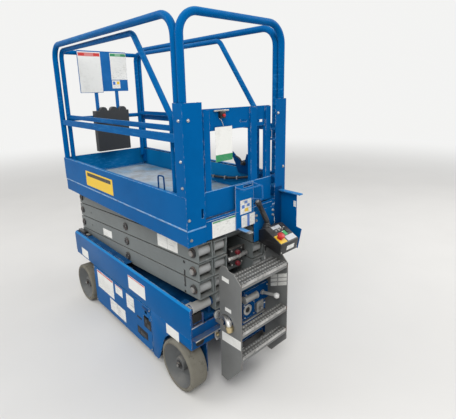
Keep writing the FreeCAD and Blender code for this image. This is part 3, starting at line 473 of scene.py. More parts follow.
white, yellow, ink = (0.78, 0.78, 0.75), (0.8, 0.52, 0.02), (0.2, 0.2, 0.2)
red, paleRed = (0.55, 0.025, 0.02), (0.62, 0.2, 0.19)
green, paleGreen = (0.02, 0.24, 0.09), (0.22, 0.42, 0.27)
brightBlue = (0.02, 0.15, 0.55)
whiteLabel = makeLabel("whiteLabel", white)
redHeadLabel = makeLabel("redHeadLabel", white, [
    (0.02, 0.98, 0.02, 0.11, paleRed), (0.03, 0.3, 0.035, 0.095, red), (0.7, 0.97, 0.035, 0.095, red)])
greenHeadLabel = makeLabel("greenHeadLabel", white, [
    (0.02, 0.98, 0.02, 0.13, paleGreen), (0.03, 0.32, 0.03, 0.12, green), (0.66, 0.97, 0.03, 0.12, green)])
greenFootLabel = makeLabel("greenFootLabel", white, [(0, 1, 0.8, 1, green)])
spotLabel = makeLabel("spotLabel", white, [(0.1, 0.4, 0.15, 0.55, brightBlue), (0.58, 0.92, 0.15, 0.5, yellow)])
outletSpots = makeLabel("outletSpots", white, [
    (0.36, 0.64, 0.08, 0.28, brightBlue), (0.12, 0.38, 0.36, 0.6, brightBlue),
    (0.6, 0.84, 0.34, 0.54, brightBlue), (0.38, 0.72, 0.62, 0.88, yellow)])
barLabel = makeLabel("barLabel", white, [(0.42, 0.6, 0, 1, brightBlue)])
yellowLabel = makeLabel("yellowLabel", yellow, [(0.06, 0.94, 0.1, 0.34, (0.03, 0.03, 0.03))], dirt=0.3)
foldLabel = makeLabel("foldLabel", white, [(0.49, 0.51, 0, 1, (0.45, 0.45, 0.43))])
linedLabel = makeLabel("linedLabel", white, [
    (0, 1, 0.3, 0.36, ink), (0, 1, 0.62, 0.7, ink), (0.42, 0.48, 0, 1, (0.3, 0.3, 0.3))], dirt=0.45)
silverLabel = makeLabel("silverLabel", (0.55, 0.56, 0.57), dirt=0.3)

nodeFinish = [  # starts of node names; all others are blue
    (greyPaint, "ladder"), (blackPlastic, "battery_pack control_box"), (chromeRod, "lift_rod"),
    (blackPaint, "hydraulic_unit pothole_guard_ knuckle_ tie_rod lift_barrel"), (greyPlastic, "manual_box"),
    (boardPaint, "sign_board"), (shelfPaint, "rear_panel"), (railPaint, "main_rails rear_hoop extension_rails"),
    # the chassis frame and scissor mounts take the dark navy as painted shade
    (paintedShadeBlue, "scissor_mounts chassis_frame"), (sillPaint, "extension_deck"), (outletPaint, "outlet_bracket"),
    (unitBlue, "rear_unit"), (armPaint, "outer_arm_ inner_arm_"), (solidRubber, "tyre_"), (rimPaint, "rim_"),
]
for name, node in nodes.items():
    found = [material for material, starts in nodeFinish if name.startswith(tuple(starts.split()))]
    for slot in node.material_slots:
        slot.material = found[0] if found else bluePaint
print("materials ready")


# building blocks for the added pieces, sizes in mm

mm = 0.001
rearward, outward, rightward = (-1, 0, 0), (0, 1, 0), (0, -1, 0)


def piece(name, bm, materials, body, angle=35, replaced=()):
    bmesh.ops.recalc_face_normals(bm, faces=bm.faces)
    mesh = makeMesh(name, bm)
    mesh.polygons.foreach_set("use_smooth", [True] * len(mesh.polygons))
    mesh.set_sharp_from_angle(angle=math.radians(angle))
    obj = addObject(name, mesh)
    for material in materials:
        mesh.materials.append(material)
    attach(obj, body)
    if replaced:
        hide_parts(*replaced)


def newFaces(bm, old, paint):
    fresh = [f for f in bm.faces if f not in old]
    for face in fresh:
        face.material_index = paint
    return fresh


def prism(bm, outline, axis, span, bevel=1, paint=0, segments=2):
    # outline in the two other axes, in order, carried along the given axis
    old = set(bm.faces)
    low, high = min(span), max(span)
    spots = {"x": lambda a, b, c: (c, a, b), "y": lambda a, b, c: (a, c, b), "z": lambda a, b, c: (a, b, c)}[axis]
    base = [bm.verts.new(Vector(spots(a, b, low)) * mm) for a, b in outline]
    face = bm.faces.new(base)
    grown = bmesh.ops.extrude_face_region(bm, geom=[face])["geom"]
    shift = Vector(spots(0, 0, high - low)) * mm
    bmesh.ops.translate(bm, vec=shift, verts=[g for g in grown if isinstance(g, bmesh.types.BMVert)])
    if bevel:
        edges = {e for f in bm.faces if f not in old for e in f.edges}
        bmesh.ops.bevel(bm, geom=list(edges), offset=bevel * mm, segments=segments, affect="EDGES", profile=0.5,
            material=-1)
    newFaces(bm, old, paint)


def block(bm, x, y, z, bevel=1, paint=0):
    outline = [(min(x), min(y)), (max(x), min(y)), (max(x), max(y)), (min(x), max(y))]
    prism(bm, outline, "z", z, bevel, paint)


def frustum(bm, foot, crest):
    # open low hump between two outlines of the same count
    low, top = ([bm.verts.new(Vector(spot) * mm) for spot in row] for row in (foot, crest))
    bm.faces.new(top)
    for k in range(len(low)):
        after = (k + 1) % len(low)
        bm.faces.new((low[k], low[after], top[after], top[k]))


def lathe(bm, place, direction, profile, steps=32, paint=0):
    # profile of (distance along the direction, radius), turned once round it
    old = set(bm.faces)
    aim = Vector(direction).to_track_quat("Z", "Y").to_matrix().to_4x4()
    frameAt = Matrix.Translation(Vector(place) * mm) @ aim
    line = [bm.verts.new(frameAt @ (Vector((r, 0, d)) * mm)) for d, r in profile]
    edges = [bm.edges.new(pair) for pair in zip(line, line[1:])]
    axis = frameAt.to_3x3() @ Vector((0, 0, 1))
    bmesh.ops.spin(bm, geom=line + edges, cent=frameAt.translation, axis=axis, angle=2 * math.pi, steps=steps,
        use_merge=True, use_duplicate=False)
    verts = list({v for f in newFaces(bm, old, paint) for v in f.verts})
    bmesh.ops.remove_doubles(bm, verts=verts, dist=0.00002)


def tube(bm, points, radius, paint=0, sides=4):
    # round bar or hose along a smooth curve
    old = set(bm.faces)
    data = bpy.data.curves.new("route", "CURVE")
    data.dimensions = "3D"
    data.bevel_depth = radius * mm
    data.bevel_resolution = sides
    data.use_fill_caps = True
    spline = data.splines.new("NURBS")
    spline.points.add(len(points) - 1)
    for spot, target in zip(points, spline.points):
        target.co = (*(Vector(spot) * mm), 1)
    spline.order_u = 3
    spline.use_endpoint_u = True
    spline.resolution_u = 6
    holder = bpy.data.objects.new("route", data)
    mesh = bpy.data.meshes.new_from_object(holder)
    bm.from_mesh(mesh)
    bpy.data.objects.remove(holder)
    bpy.data.curves.remove(data)
    bpy.data.meshes.remove(mesh)
    newFaces(bm, old, paint)


def placard(bm, corner, across, down, thick=0.7, paint=0):
    # thin plate; UV runs from its top left corner, u across and v down
    old = set(bm.faces)
    layer = bm.loops.layers.uv.verify()
    corner, across, down = (Vector(v) * mm for v in (corner, across, down))
    out = down.cross(across).normalized() * thick * mm
    spots = {}
    for level in (0, 1):
        for u, v in ((0, 0), (0, 1), (1, 1), (1, 0)):
            spots[bm.verts.new(corner + across * u + down * v + out * level)] = (u, v)
    verts = list(spots)
    bm.faces.new(verts[:4])
    bm.faces.new(verts[4:])
    for a, b in ((0, 1), (1, 2), (2, 3), (3, 0)):
        bm.faces.new((verts[a], verts[b], verts[b + 4], verts[a + 4]))
    for face in newFaces(bm, old, paint):
        for loop in face.loops:
            loop[layer].uv = spots[loop.vert]


boltForm = {  # profiles in bolt sizes
    "washer": [(0, 0), (0, 1.25), (0.22, 1.25), (0.24, 0)],
    "head": [(0.2, 0), (0.2, 1), (0.95, 1), (1.1, 0.82), (1.1, 0)],
}


def bolt(bm, place, direction, size, paint=0, washer=True):
    # hexagon head, on a washer or bare
    for form, steps in (("washer", 20), ("head", 6)):
        if washer or form == "head":
            lathe(bm, place, direction, [(d * size, r * size) for d, r in boltForm[form]], steps, paint)


def fill(bm, values, side=1):
    # the rows of a dictionary, each with what its function takes; side -1 turns them over in y
    def turned(spot):
        return (spot[0], side * spot[1], spot[2])

    for x, y, z, *rest in values.get("blocks", ()):
        block(bm, x, [side * v for v in y], z, *rest)
    for outline, axis, span, *rest in values.get("prisms", ()):
        if axis == "x":
            prism(bm, [(side * y, z) for y, z in outline], axis, span, *rest)
        else:
            prism(bm, outline, axis, [side * v for v in span], *rest)
    for place, direction, *rest in values.get("lathes", ()):
        lathe(bm, turned(place), turned(direction), *rest)
    for points, *rest in values.get("tubes", ()):
        tube(bm, points, *rest)
    for place, direction, *rest in values.get("bolts", ()):
        bolt(bm, turned(place), turned(direction), *rest)


def assemble(name, values, materials, body):
    # a piece from its dictionary, with the mirrored rows on both sides
    bm = bmesh.new()
    fill(bm, values)
    for side in (1, -1):
        fill(bm, values.get("mirrored", {}), side)
    piece(name, bm, materials, body)


# platform controls

controls = {
    "profile": [(-734.6, 892), (-786, 914), (-912, 848), (-898, 778), (-734.6, 818)], "y": (-290, -135),
    "slopeTop": (-786, 914), "slopeEnd": (-912, 848),
    "plates": [                  # down the slope, y, thickness, height over the slope, paint
        ((74, 134), (-192, -138), 4, 3, 1), ((12, 78), (-282, -250), 5, 4, 0),
        ((58, 92), (-246, -222), 1.2, 0.8, 5), ((96, 132), (-282, -206), 1.2, 0.8, 4),
        ((8, 30), (-246, -176), 1.2, 0.8, 4),
    ],
    "stop": (97, -163),          # down the slope, y
    "stopForm": [(0, 0), (0, 17), (6, 17), (7, 11), (15, 11), (17, 20), (22, 22.5), (28, 20), (32, 12), (33.5, 0)],
    "toggles": [(44, -186), (44, -212), (70, -198), (44, -238)],
    "nutForm": [(0, 0), (0, 8), (4, 8), (4, 5), (7, 5), (7, 0)],
    "batForm": [(0, 0), (0, 2.2), (14, 3.2), (18, 3), (19, 0)], "batLean": (-0.25, 0.1, 0),
    "screws": [(x, y, z) for y in (-282, -143) for x, z in ((-900, 796), (-905, 838))],
    "screwForm": [(-3, 0), (-3, 4), (3.2, 4), (4, 3), (4, 0)], "screwAim": (-1, 0, 0.15),
    "stickFoot": (-770, -170, 903), "stickTop": (-774, -82, 1092), "stickRise": 42,
    "bellows": (5, 9, 3.2),      # folds, pitch, taper
    "grip": (9, 9),              # ridges, pitch
    "hanger": {
        "blocks": [((-734.3, -730.3), (-278, -98), (824, 1010))],
        "bolts": [((-734.3, y, z), rearward, 7, 1) for y in (-262, -116) for z in (985, 955)],
    },
}


def makeStick(bm, values):
    folds, pitch, taper = values["bellows"]
    bellows = [(-8, 0), (-8, 30), (2, 30)]
    for k in range(folds):
        bellows += [(4 + k * pitch, 28 - k * taper), (8.5 + k * pitch, 23.5 - k * taper)]
    lathe(bm, values["stickFoot"], (0, 0, 1), bellows + [(50, 12), (50, 0)], 36)
    start = Vector(values["stickFoot"]) + Vector((0, 0, values["stickRise"]))
    lean = Vector(values["stickTop"]) - start
    tall = lean.length
    ridges, pitch = values["grip"]
    grip = [(-8, 0), (-8, 13), (4, 15)]
    for k in range(ridges):
        grip += [(8 + k * pitch, 15.8), (12 + k * pitch, 15.8), (13.5 + k * pitch, 14.4), (15.5 + k * pitch, 14.4)]
    grip += [(tall - 34, 15.5), (tall - 30, 18), (tall - 12, 18), (tall - 6, 15), (tall - 6, 0)]
    lathe(bm, start, lean, grip)
    lathe(bm, start + lean.normalized() * (tall - 7), lean, [(0, 0), (0, 11), (4, 10), (6.5, 5), (7, 0)], 24, 3)


def makeControls(values):
    bm = bmesh.new()
    prism(bm, values["profile"], "y", values["y"], 6, 0, 3)
    top, end = Vector(values["slopeTop"]), Vector(values["slopeEnd"])
    run = (end - top).normalized()
    down, up = Vector((run.x, 0, run.y)), Vector((run.y, 0, -run.x))

    def spot(along, y, lift=0):
        return Vector((top.x, y, top.y)) + down * along + up * lift

    for (start, stop), (low, high), thick, height, paint in values["plates"]:
        placard(bm, spot(start, high, height - thick), (0, low - high, 0), down * (stop - start), thick, paint)
    lathe(bm, spot(*values["stop"], 2), up, values["stopForm"], 40, 2)
    for along, y in values["toggles"]:
        lathe(bm, spot(along, y), up, values["nutForm"], 6, 3)
        lathe(bm, spot(along, y, 5), up + Vector(values["batLean"]), values["batForm"], 16, 3)
    for place in values["screws"]:
        lathe(bm, place, values["screwAim"], values["screwForm"], 14, 3)
    makeStick(bm, values)
    materials = [blackPlastic, yellowPlastic, redPlastic, wornSteel, silverLabel, greenPlastic]
    piece("controlBox", bm, materials, "platform", replaced=("control_box",))


makeControls(controls)
assemble("controlHanger", controls["hanger"], [bluePaint, wornSteel], "platform")


# scissor pin caps: screwed discs in the middle and in front, a ring with a boss at the rear

pinCaps = {
    "rearX": -672, "midX": 71.1, "frontX": 814.2, "baseZ": 551, "rise": 106, "faceY": 302.6,
    "disc": [(0, 0), (0, 26.5), (6, 26.5), (8.5, 24), (8.5, 12), (6.5, 10), (6.5, 0)],
    "ring": [(0, 0), (0, 26.5), (7, 26.5), (8.5, 24.5), (8.5, 0)],
    "boss": [(8, 0), (8, 16), (14.5, 16), (16.5, 14), (16.5, 0)],
    "screw": [(-1, 0), (-1, 3), (1.2, 3), (1.6, 0)], "screwTurns": (0.6, 2.7, 4.8), "screwReach": 18,
    "screwLift": 8.3,
}


def makePinCaps(values):
    base, rise, faceY, reach = (values[k] for k in ("baseZ", "rise", "faceY", "screwReach"))
    for stage in (1, 2, 3, 4):
        spots = [(values["midX"], base + rise * (stage - 0.5))]
        if stage < 4:
            spots.append((values["frontX"], base + rise * stage))
        bm = bmesh.new()
        for side in (1, -1):
            out = (0, side, 0)
            for x, z in spots:
                lathe(bm, (x, side * faceY, z), out, values["disc"], 40)
                for turn in values["screwTurns"]:
                    across, up = reach * math.cos(turn), reach * math.sin(turn)
                    place = (x + across, side * (faceY + values["screwLift"]), z + up)
                    lathe(bm, place, out, values["screw"], 10, 1)
            if stage > 1:
                rear = (values["rearX"], side * faceY, base + rise * (stage - 1))
                lathe(bm, rear, out, values["ring"], 40)
                lathe(bm, rear, out, values["boss"], 32, 2)
        piece("pinCaps%d" % stage, bm, [blackPaint, wornSteel, pinGrey], "inner_arm_%d" % stage)


makePinCaps(pinCaps)


# wheels: the tyre, the dished rim in it and the hub's end; profiles go outboard

wheels = {
    "rearX": -569, "frontX": 751, "z": 152.5, "hubY": 357, "nutY": 359, "trackY": 323, "steps": 60,
    "flange": [(-1, 0), (-1, 27), (2, 27), (2, 18), (3, 0)],
    "nut": [(0, 0), (0, 16), (9, 16), (10.5, 14), (10.5, 0)],
    "stud": [(9, 0), (9, 8), (15, 8), (16, 7), (16, 0)],
    "tyre": [(-57, 104.3), (-52, 149), (-47, 152), (-40, 152.5), (40, 152.5), (47, 151.6), (52.5, 148.4),
        (56, 143), (57, 137), (55.5, 132), (52.5, 129.5), (-20, 104.3), (-57, 104.3)],
    "rim": [(-57, 104), (-20, 104), (52.3, 129.2), (54, 127.6), (52, 125), (46, 119), (10, 78), (6, 68), (6, 46),
        (33, 39), (34, 36), (34, 0), (26, 0), (26, 20.05), (-46, 20.05), (-46, 46), (-57, 98), (-57, 104)],
}


def makeWheels(values):
    for place in ("front_left", "front_right", "rear_left", "rear_right"):
        end, hand = place.split("_")
        x, z, side = values[end + "X"], values["z"], 1 if hand == "left" else -1
        out, body = (0, side, 0), "wheel_" + place
        bm = bmesh.new()
        lathe(bm, (x, side * values["hubY"], z), out, values["flange"])
        lathe(bm, (x, side * values["nutY"], z), out, values["nut"], 6)
        lathe(bm, (x, side * values["nutY"], z), out, values["stud"], 20, 1)
        piece("hub_" + place, bm, [blackPaint, wornSteel], body)
        for kind, finish, slot in (("tyre", solidRubber, "rubber"), ("rim", rimPaint, "rim_paint")):
            bm = bmesh.new()
            lathe(bm, (x, side * values["trackY"], z), out, values[kind], values["steps"])
            piece("%sForm_%s" % (kind, place), bm, [finish], body, 40, ("%s_%s" % (kind, place),))


makeWheels(wheels)


# ladder treads

treads = {
    "steps": [(-912, -795, 728, 4), (-912, -862, 445, 2), (-912, -862, 297, 2)],   # x from and to, z, rows
    "halfWidth": 180, "pitch": 20, "stagger": 5, "height": 5, "sunk": 0.5,
    "hump": (4.5, 7), "crest": (0.55, 0.6),            # half sizes in x and y, and the share left on top
    "skin": 179.5, "skinThick": 0.3, "groove": 178, "grooveHalf": 1.3, "grooveTop": 0.7,
    "tooth": [(0, 1.5), (6, 5), (14, 5)], "toothFoot": 14, "toothX": (-2.2, 1),
}


def makeTreads(values):
    bm = bmesh.new()
    half, pitch, skin, groove = (values[k] for k in ("halfWidth", "pitch", "skin", "groove"))
    count = int(2 * half / pitch)
    (hx, hy), (tx, ty) = values["hump"], values["crest"]
    for x0, x1, z, rows in values["steps"]:
        onSkin = z + values["skinThick"]
        block(bm, (x0 + 1, x1 - 1), (-skin, skin), (z, onSkin), 0, 1)
        # dark strips along the grooves: painted shade
        for row in range(1, rows, 2 if rows > 2 else rows):
            x = x0 + (x1 - x0) * row / rows
            wide = values["grooveHalf"]
            block(bm, (x - wide, x + wide), (-groove, groove), (onSkin, z + values["grooveTop"]), 0, 2)
        for row in range(rows):
            x = x0 + (x1 - x0) * (row + 0.5) / rows
            shift = values["stagger"] if row % 2 else -values["stagger"]
            for n in range(count):
                y = -half + (n + 0.5) * pitch + shift
                corners = [(-hx, -hy), (hx, -hy), (hx, hy), (-hx, hy)]
                frustum(bm, [(x + a, y + b, z - values["sunk"]) for a, b in corners],
                    [(x + a * tx, y + b * ty, z + values["height"]) for a, b in corners])
        teeth = [(-half, z - values["toothFoot"])]
        for n in range(count):
            teeth += [(-half + n * pitch + y, z + lift) for y, lift in values["tooth"]]
        teeth += [(half, z + values["tooth"][0][1]), (half, z - values["toothFoot"])]
        prism(bm, teeth, "x", [x0 + x for x in values["toothX"]], 0)
    piece("ladderTreads", bm, [treadSteel, stepSteel, blackPlastic], "chassis", 30)


makeTreads(treads)


# blank plates and labels

labels = [  # name, body, material, side it faces, top left corner, width, height, rise along the width, lean
    ("sideLabelA", "tray_left", redHeadLabel, "left", (515, 360.2, 358), 272, 146),
    ("sideLabelB", "tray_left", redHeadLabel, "left", (208, 360.2, 354), 108, 68),
    ("sideLabelC", "tray_left", foldLabel, "left", (320, 360.2, 194), 238, 96),
    ("sideLabelD", "tray_left", whiteLabel, "left", (43, 360.2, 354), 106, 106),
    ("sideLabelE", "chassis", redHeadLabel, "left", (-11, 360.2, 513), 218, 98),
    ("sideLabelF", "chassis", whiteLabel, "left", (-455, 360.2, 370), 128, 64),
    ("sideLabelG", "chassis", whiteLabel, "left", (790, 360.2, 456), 128, 68),
    ("armLabelRear", "outer_arm_3", foldLabel, "left", (-328, 302.2, 881), 206, 76, 14.6),
    ("armLabelFront", "outer_arm_2", whiteLabel, "left", (452, 302.2, 700), 145, 54, 10.3),
    ("skirtLabel", "platform", greenHeadLabel, "rear", (-730.3, 212, 1030), 176, 91),
    ("toeDecal", "platform", yellowLabel, "left", (488, 370.2, 1150), 424, 106),
    ("gateTag", "gate", greenFootLabel, "rear", (-714, 161, 1513), 117, 177),
    ("outletLabel", "platform", outletSpots, "rear", (-734.6, 11, 1101), 87, 80),
    ("outletLowLabel", "platform", barLabel, "rear", (-734.8, 4, 1011), 108, 70),
    ("boardSheetLeft", "extension", redHeadLabel, "rear", (831.4, 203, 2001), 180, 308),
    ("boardSheetRight", "extension", greenHeadLabel, "rear", (831.4, -58, 2001), 141, 210),
    ("boardSticker", "extension", spotLabel, "rear", (831.4, -60, 1786), 70, 64),
    ("shieldLabel", "platform", whiteLabel, "left", (-830, -339.8, 1046), 19, 36),
    ("controlLabel", "platform", whiteLabel, "rear", (-908.6, -186, 827), 66, 27, 0, 5.4),
    ("ladderLabelA", "chassis", whiteLabel, "left", (-771, 190.2, 733), 54, 24, -3),
    ("ladderLabelB", "chassis", whiteLabel, "left", (-791, 190.2, 556), 48, 22),
    ("ladderLabelC", "chassis", whiteLabel, "left", (-761, 190.2, 392), 149, 56, 9),
    ("ladderLabelD", "chassis", linedLabel, "left", (-790, -184.8, 604), 122, 76, 56),
]


rightNames = {"sideLabelA": "rightLabelA", "sideLabelB": "rightLabelB", "sideLabelD": "rightLabelD",
    "sideLabelE": "rightLabelE", "sideLabelF": "rightLabelF", "toeDecal": "rightDecal"}
labels += [(rightNames[name], body.replace("left", "right"), material, "right", (x - width, -y, z), width, height)
    for name, body, material, _, (x, y, z), width, height, *_ in labels if name in rightNames]


def makeLabels(rows):
    ways = {"left": (-1, 0), "right": (1, 0), "rear": (0, -1)}
    for name, body, material, facing, corner, width, height, *slant in rows:
        rise, lean = (*slant, 0, 0)[:2]
        x, y = ways[facing]
        bm = bmesh.new()
        placard(bm, corner, (x * width, y * width, rise), (lean, 0, -height))
        piece(name, bm, [material], body)


makeLabels(labels)


# sleeves seen in the open rear ends of the arms

sleeves = {"outerY": (208.4, 295.6), "innerY": (108.4, 187.6), "radius": 31.6, "wall": 1.2, "bead": 1.4, "lip": 3}


def makeSleeves(values):
    r, lip = values["radius"], values["lip"]
    thin, thick = r - values["wall"], r + values["bead"]
    for stage in (1, 2, 3, 4):
        for kind, level in (("outer", stage), ("inner", stage - 1)):
            near, far = values[kind + "Y"]
            long = far - near
            form = [(0, thin), (0, r), (lip, thick), (lip * 2, r), (long - lip * 2, r), (long - lip, thick), (long, r),
                (long, thin)]
            z = pinCaps["baseZ"] + pinCaps["rise"] * level
            bm = bmesh.new()
            for side in (1, -1):
                lathe(bm, (pinCaps["rearX"], side * near, z), (0, side, 0), form, 40)
            piece("%sSleeves%d" % (kind, stage), bm, [sleevePaint], "%s_arm_%d" % (kind, stage))


makeSleeves(sleeves)


# notches and holes in the outer arms, with painted shade inside and a raised rim

armMarks = {
    "slotX": -590, "slotHalf": 7, "faceY": 302.05, "sunk": 0.8,
    "rows": [  # stage, slots by height, holes by x, z and radius
        (1, [(640, 700)], [(-590, 612, 9)]), (2, [(708, 742)], [(-590, 790, 9), (652, 669, 6)]),
        (3, [], [(652, 772, 6)]),
    ],
}


def makeArmMarks(values):
    slotX, half, y, sunk = (values[k] for k in ("slotX", "slotHalf", "faceY", "sunk"))

    def upright(bm, x, reach, z, span, *rest):
        prism(bm, [(x - reach, z[0]), (x + reach, z[0]), (x + reach, z[1]), (x - reach, z[1])], "y", span, *rest)

    for stage, slots, holes in values["rows"]:
        bm = bmesh.new()
        for side in (1, -1):
            for z in slots:
                upright(bm, slotX, half, z, (side * (y - sunk), side * (y + 0.5)), 0)
                for x in (slotX - half, slotX + half):
                    upright(bm, x, 1, z, (side * y, side * (y + 1.4)), 0.4, 1)
            for x, z, r in holes:
                lathe(bm, (x, side * (y - sunk), z), (0, side, 0), [(0, 0), (0, r), (1.2, r), (1.2, 0)], 24)
                lathe(bm, (x, side * y, z), (0, side, 0), [(0, r), (0, r + 3), (1.4, r + 2), (1.6, r)], 24, 1)
        piece("armMarks%d" % stage, bm, [holeShade, armPaint], "outer_arm_%d" % stage)


makeArmMarks(armMarks)


# valve block between the inner arms at the rear

valves = {
    "blocks": [((-650, -645), (-101.6, 101.6), (738, 788)), ((-676, -650), (-58, 40), (694, 800), 3)],
    "lathes": [
        *[((-676, -9, z), rearward, [(0, 0), (0, 11), (5, 11), (5, 14), (8, 15), (18, 14), (21, 12), (21, 0)], 28, 1)
          for z in (775, 706)],
        ((-672, 60, 744), rightward, [(0, 0), (0, 15), (4, 17), (12, 17), (14, 14), (22, 14)], 6, 2),
        ((-668, 38, 742), rightward,
         [(0, 15), (60, 15), (62, 19), (74, 19), (76, 15), (134, 15), (134, 0)], 28, 2),
    ],
    "bolts": [((-676, y, z), rearward, 5, 2, False) for y in (-48, 30) for z in (790, 704)],
}
assemble("valveBlock", valves, [blackPaint, darkRed, wornSteel], "inner_arm_3")


# details of the unit behind the ladder: dial, finned box, lever with its knob, motor and low bar

rearUnit = {
    "blocks": [
        ((-778.5, -762.5), (-134, -77), (386, 456), 2, 2), ((-778, -766.5), (-144, 35), (368, 374), 1, 2),
        ((-749, -740.5), (-165, 31), (131, 210), 2, 1),
        *[((-780.5, -778), (-130, -81), (z, z + 5), 0.8, 2) for z in range(394, 454, 10)],
    ],
    "lathes": [
        ((-776.3, 4, 446), rearward, [(0, 17), (0, 33), (4, 33), (6, 30), (6, 20), (4, 17)], 40),
        ((-776, 4, 446), rearward, [(0, 0), (0, 17), (1.5, 17), (1.5, 11), (7, 9), (7, 0)], 6, 1),
        ((-780, -100, 417), rearward, [(0, 0), (0, 5), (8, 5), (10, 9), (15, 10), (20, 8), (22, 0)], 24),
        ((-770, 30, 510), rightward, [(0, 0), (0, 19), (3, 24), (14, 24), (16, 22), (98, 22), (100, 24), (109, 24),
            (112, 19), (112, 0)], 40, 2),
        *[((-778.3, y, 513), rightward, [(0, 0), (0, 12.5), (6, 12.5), (6, 0)], 28, 1) for y in (-70, 8)],
    ],
    "bolts": [
        *[((-776.3, y, z), rearward, 4.5, 0, False) for y in (-46, 28) for z in (402, 480)],
        *[((-749, y, 170), rearward, 7) for y in (-150, 16)],
        *[((-770.3, y, z), rearward, 5, 0, False) for y in (-170, 10) for z in (540, 470)],
    ],
    "lever": ((-768, -128, 503), (-856, -150, 508)),
    "leverForm": [(-2, 0), (-2, 15), (10, 15), (12, 10)], "leverEnd": (4, 9),     # short of the knob, radius
    "knobForm": [(-8, 0), (-8, 8), (-4, 13), (4, 17), (14, 17), (22, 12), (26, 0)],
}


def makeRearUnit(values):
    bm = bmesh.new()
    fill(bm, values)
    foot, knob = (Vector(spot) for spot in values["lever"])
    lever = knob - foot
    short, radius = values["leverEnd"]
    reach = lever.length - short
    lathe(bm, foot, lever, values["leverForm"] + [(reach, radius), (reach, 0)], 24, 2)
    lathe(bm, knob, lever, values["knobForm"], 28, 3)
    piece("rearUnitParts", bm, [wornSteel, blackPaint, silverPaint, whitePlastic], "chassis")


makeRearUnit(rearUnit)


# bent pipe with its brass end, bracket and stud beside the ladder

rearFittings = {
    "prisms": [([(-700, 372), (-716, 372), (-716, 336), (-730, 322), (-726, 318), (-711, 332), (-711, 366),
        (-700, 366)], "y", (181, 205))],
    "lathes": [
        ((-699.5, 166, 452), (-1, 0, 0.3), [(-3, 0), (-3, 27), (4, 27), (7, 20), (16, 20), (16, 0)], 32, 1),
        ((-838, 204, 458), (-0.1, 0, -1), [(-8, 0), (-8, 20), (-4, 22), (8, 22), (10, 19), (22, 19), (24, 16),
            (24, 9), (18, 9), (18, 0)], 32, 2),
        ((-716, 193, 350), rearward, [(0, 0), (0, 10), (3, 10), (3, 7), (9, 9), (14, 8), (17, 4), (18, 0)], 24, 2),
    ],
    "tubes": [([(-700, 166, 452), (-728, 168, 462), (-772, 176, 482), (-816, 196, 486), (-836, 203, 462),
        (-838, 204, 446)], 16, 0, 5)],
}
assemble("rearFittings", rearFittings, [wornSteel, silverPaint, brass], "chassis")


# gate latch with its cord, and painted highlight strips along the top and end edges of the gate's toe plate

gateLatch = {
    "blocks": [
        ((-722, -704), (92, 128), (1556, 1590), 2.5), ((-712, -703), (60, 160), (1590, 1598), 1.5, 2),
        ((-716.3, -711.7), (-262.3, 250.3), (1188.5, 1193.3), 1.6, 3),
        ((-716.2, -711.8), (249.4, 250.3), (1058, 1188), 0.4, 3),
    ],
    "lathes": [((-722, 110, 1571), rearward, [(0, 0), (0, 5), (4, 5), (5, 7.5), (10, 7.5), (12, 5), (12, 0)], 24, 1)],
    "tubes": [([(-704, 126, 1560), (-716, 124, 1552), (-718, 112, 1534), (-714, 104, 1516)], 1.6, 2)],
}
assemble("gateLatch", gateLatch, [blackPlastic, redPlastic, wornSteel, highlightBlue], "gate")


# skins of the worn deck: raised lozenges on a thin sheet

deckSkins = {
    "pitch": 34, "long": 11, "wide": 2.8, "crest": 0.6, "thick": 0.16, "foot": 0.1,
    "sheets": [  # name, body, x, y, z, height of the lozenges
        ("deckSkinRear", "platform", (-655, 880), (-330, 330), 1040, 0.2),
        ("deckSkinFront", "extension", (-118, 874), (-330, 330), 1045, 1.4),
    ],
}


def makeDeckSkins(values):
    pitch, long, wide, share = (values[k] for k in ("pitch", "long", "wide", "crest"))
    for name, body, x, y, z, lift in values["sheets"]:
        bm = bmesh.new()
        block(bm, x, y, (z, z + values["thick"]), 0)
        for i in range(int((x[1] - x[0]) / pitch)):
            for j in range(int((y[1] - y[0]) / pitch)):
                cx, cy = x[0] + (i + 0.5) * pitch, y[0] + (j + 0.5) * pitch
                sx, sy = (long, wide) if (i + j) % 2 else (wide, long)
                corners = [(-sx, 0), (0, -sy), (sx, 0), (0, sy)]
                frustum(bm, [(cx + a, cy + b, z + values["foot"]) for a, b in corners],
                    [(cx + a * share, cy + b * share, z + lift) for a, b in corners])
        piece(name, bm, [deckMetal], body, 30)


makeDeckSkins(deckSkins)


# side panels, with the rolled bend along their top edge and the wheel arch at the rear

sidePanels = {
    "x": (-700, 898.7), "outer": 360, "sheet": 6, "bend": 13, "top": 566, "flangeIn": 346.3, "low": 378,
    "arch": ((-569, 152.5), 172, 72, 14, 14),      # centre, radius, angles from and to, steps
    "overlap": 0.2, "cornerZ": 316, "frontEdge": [(-345, 60), (-334, 50), (-280, 50)],
}


def arc(centre, radius, start, end, steps):
    angles = [math.radians(start + (end - start) * k / steps) for k in range(steps + 1)]
    return [(centre[0] + radius * math.cos(a), centre[1] + radius * math.sin(a)) for a in angles]


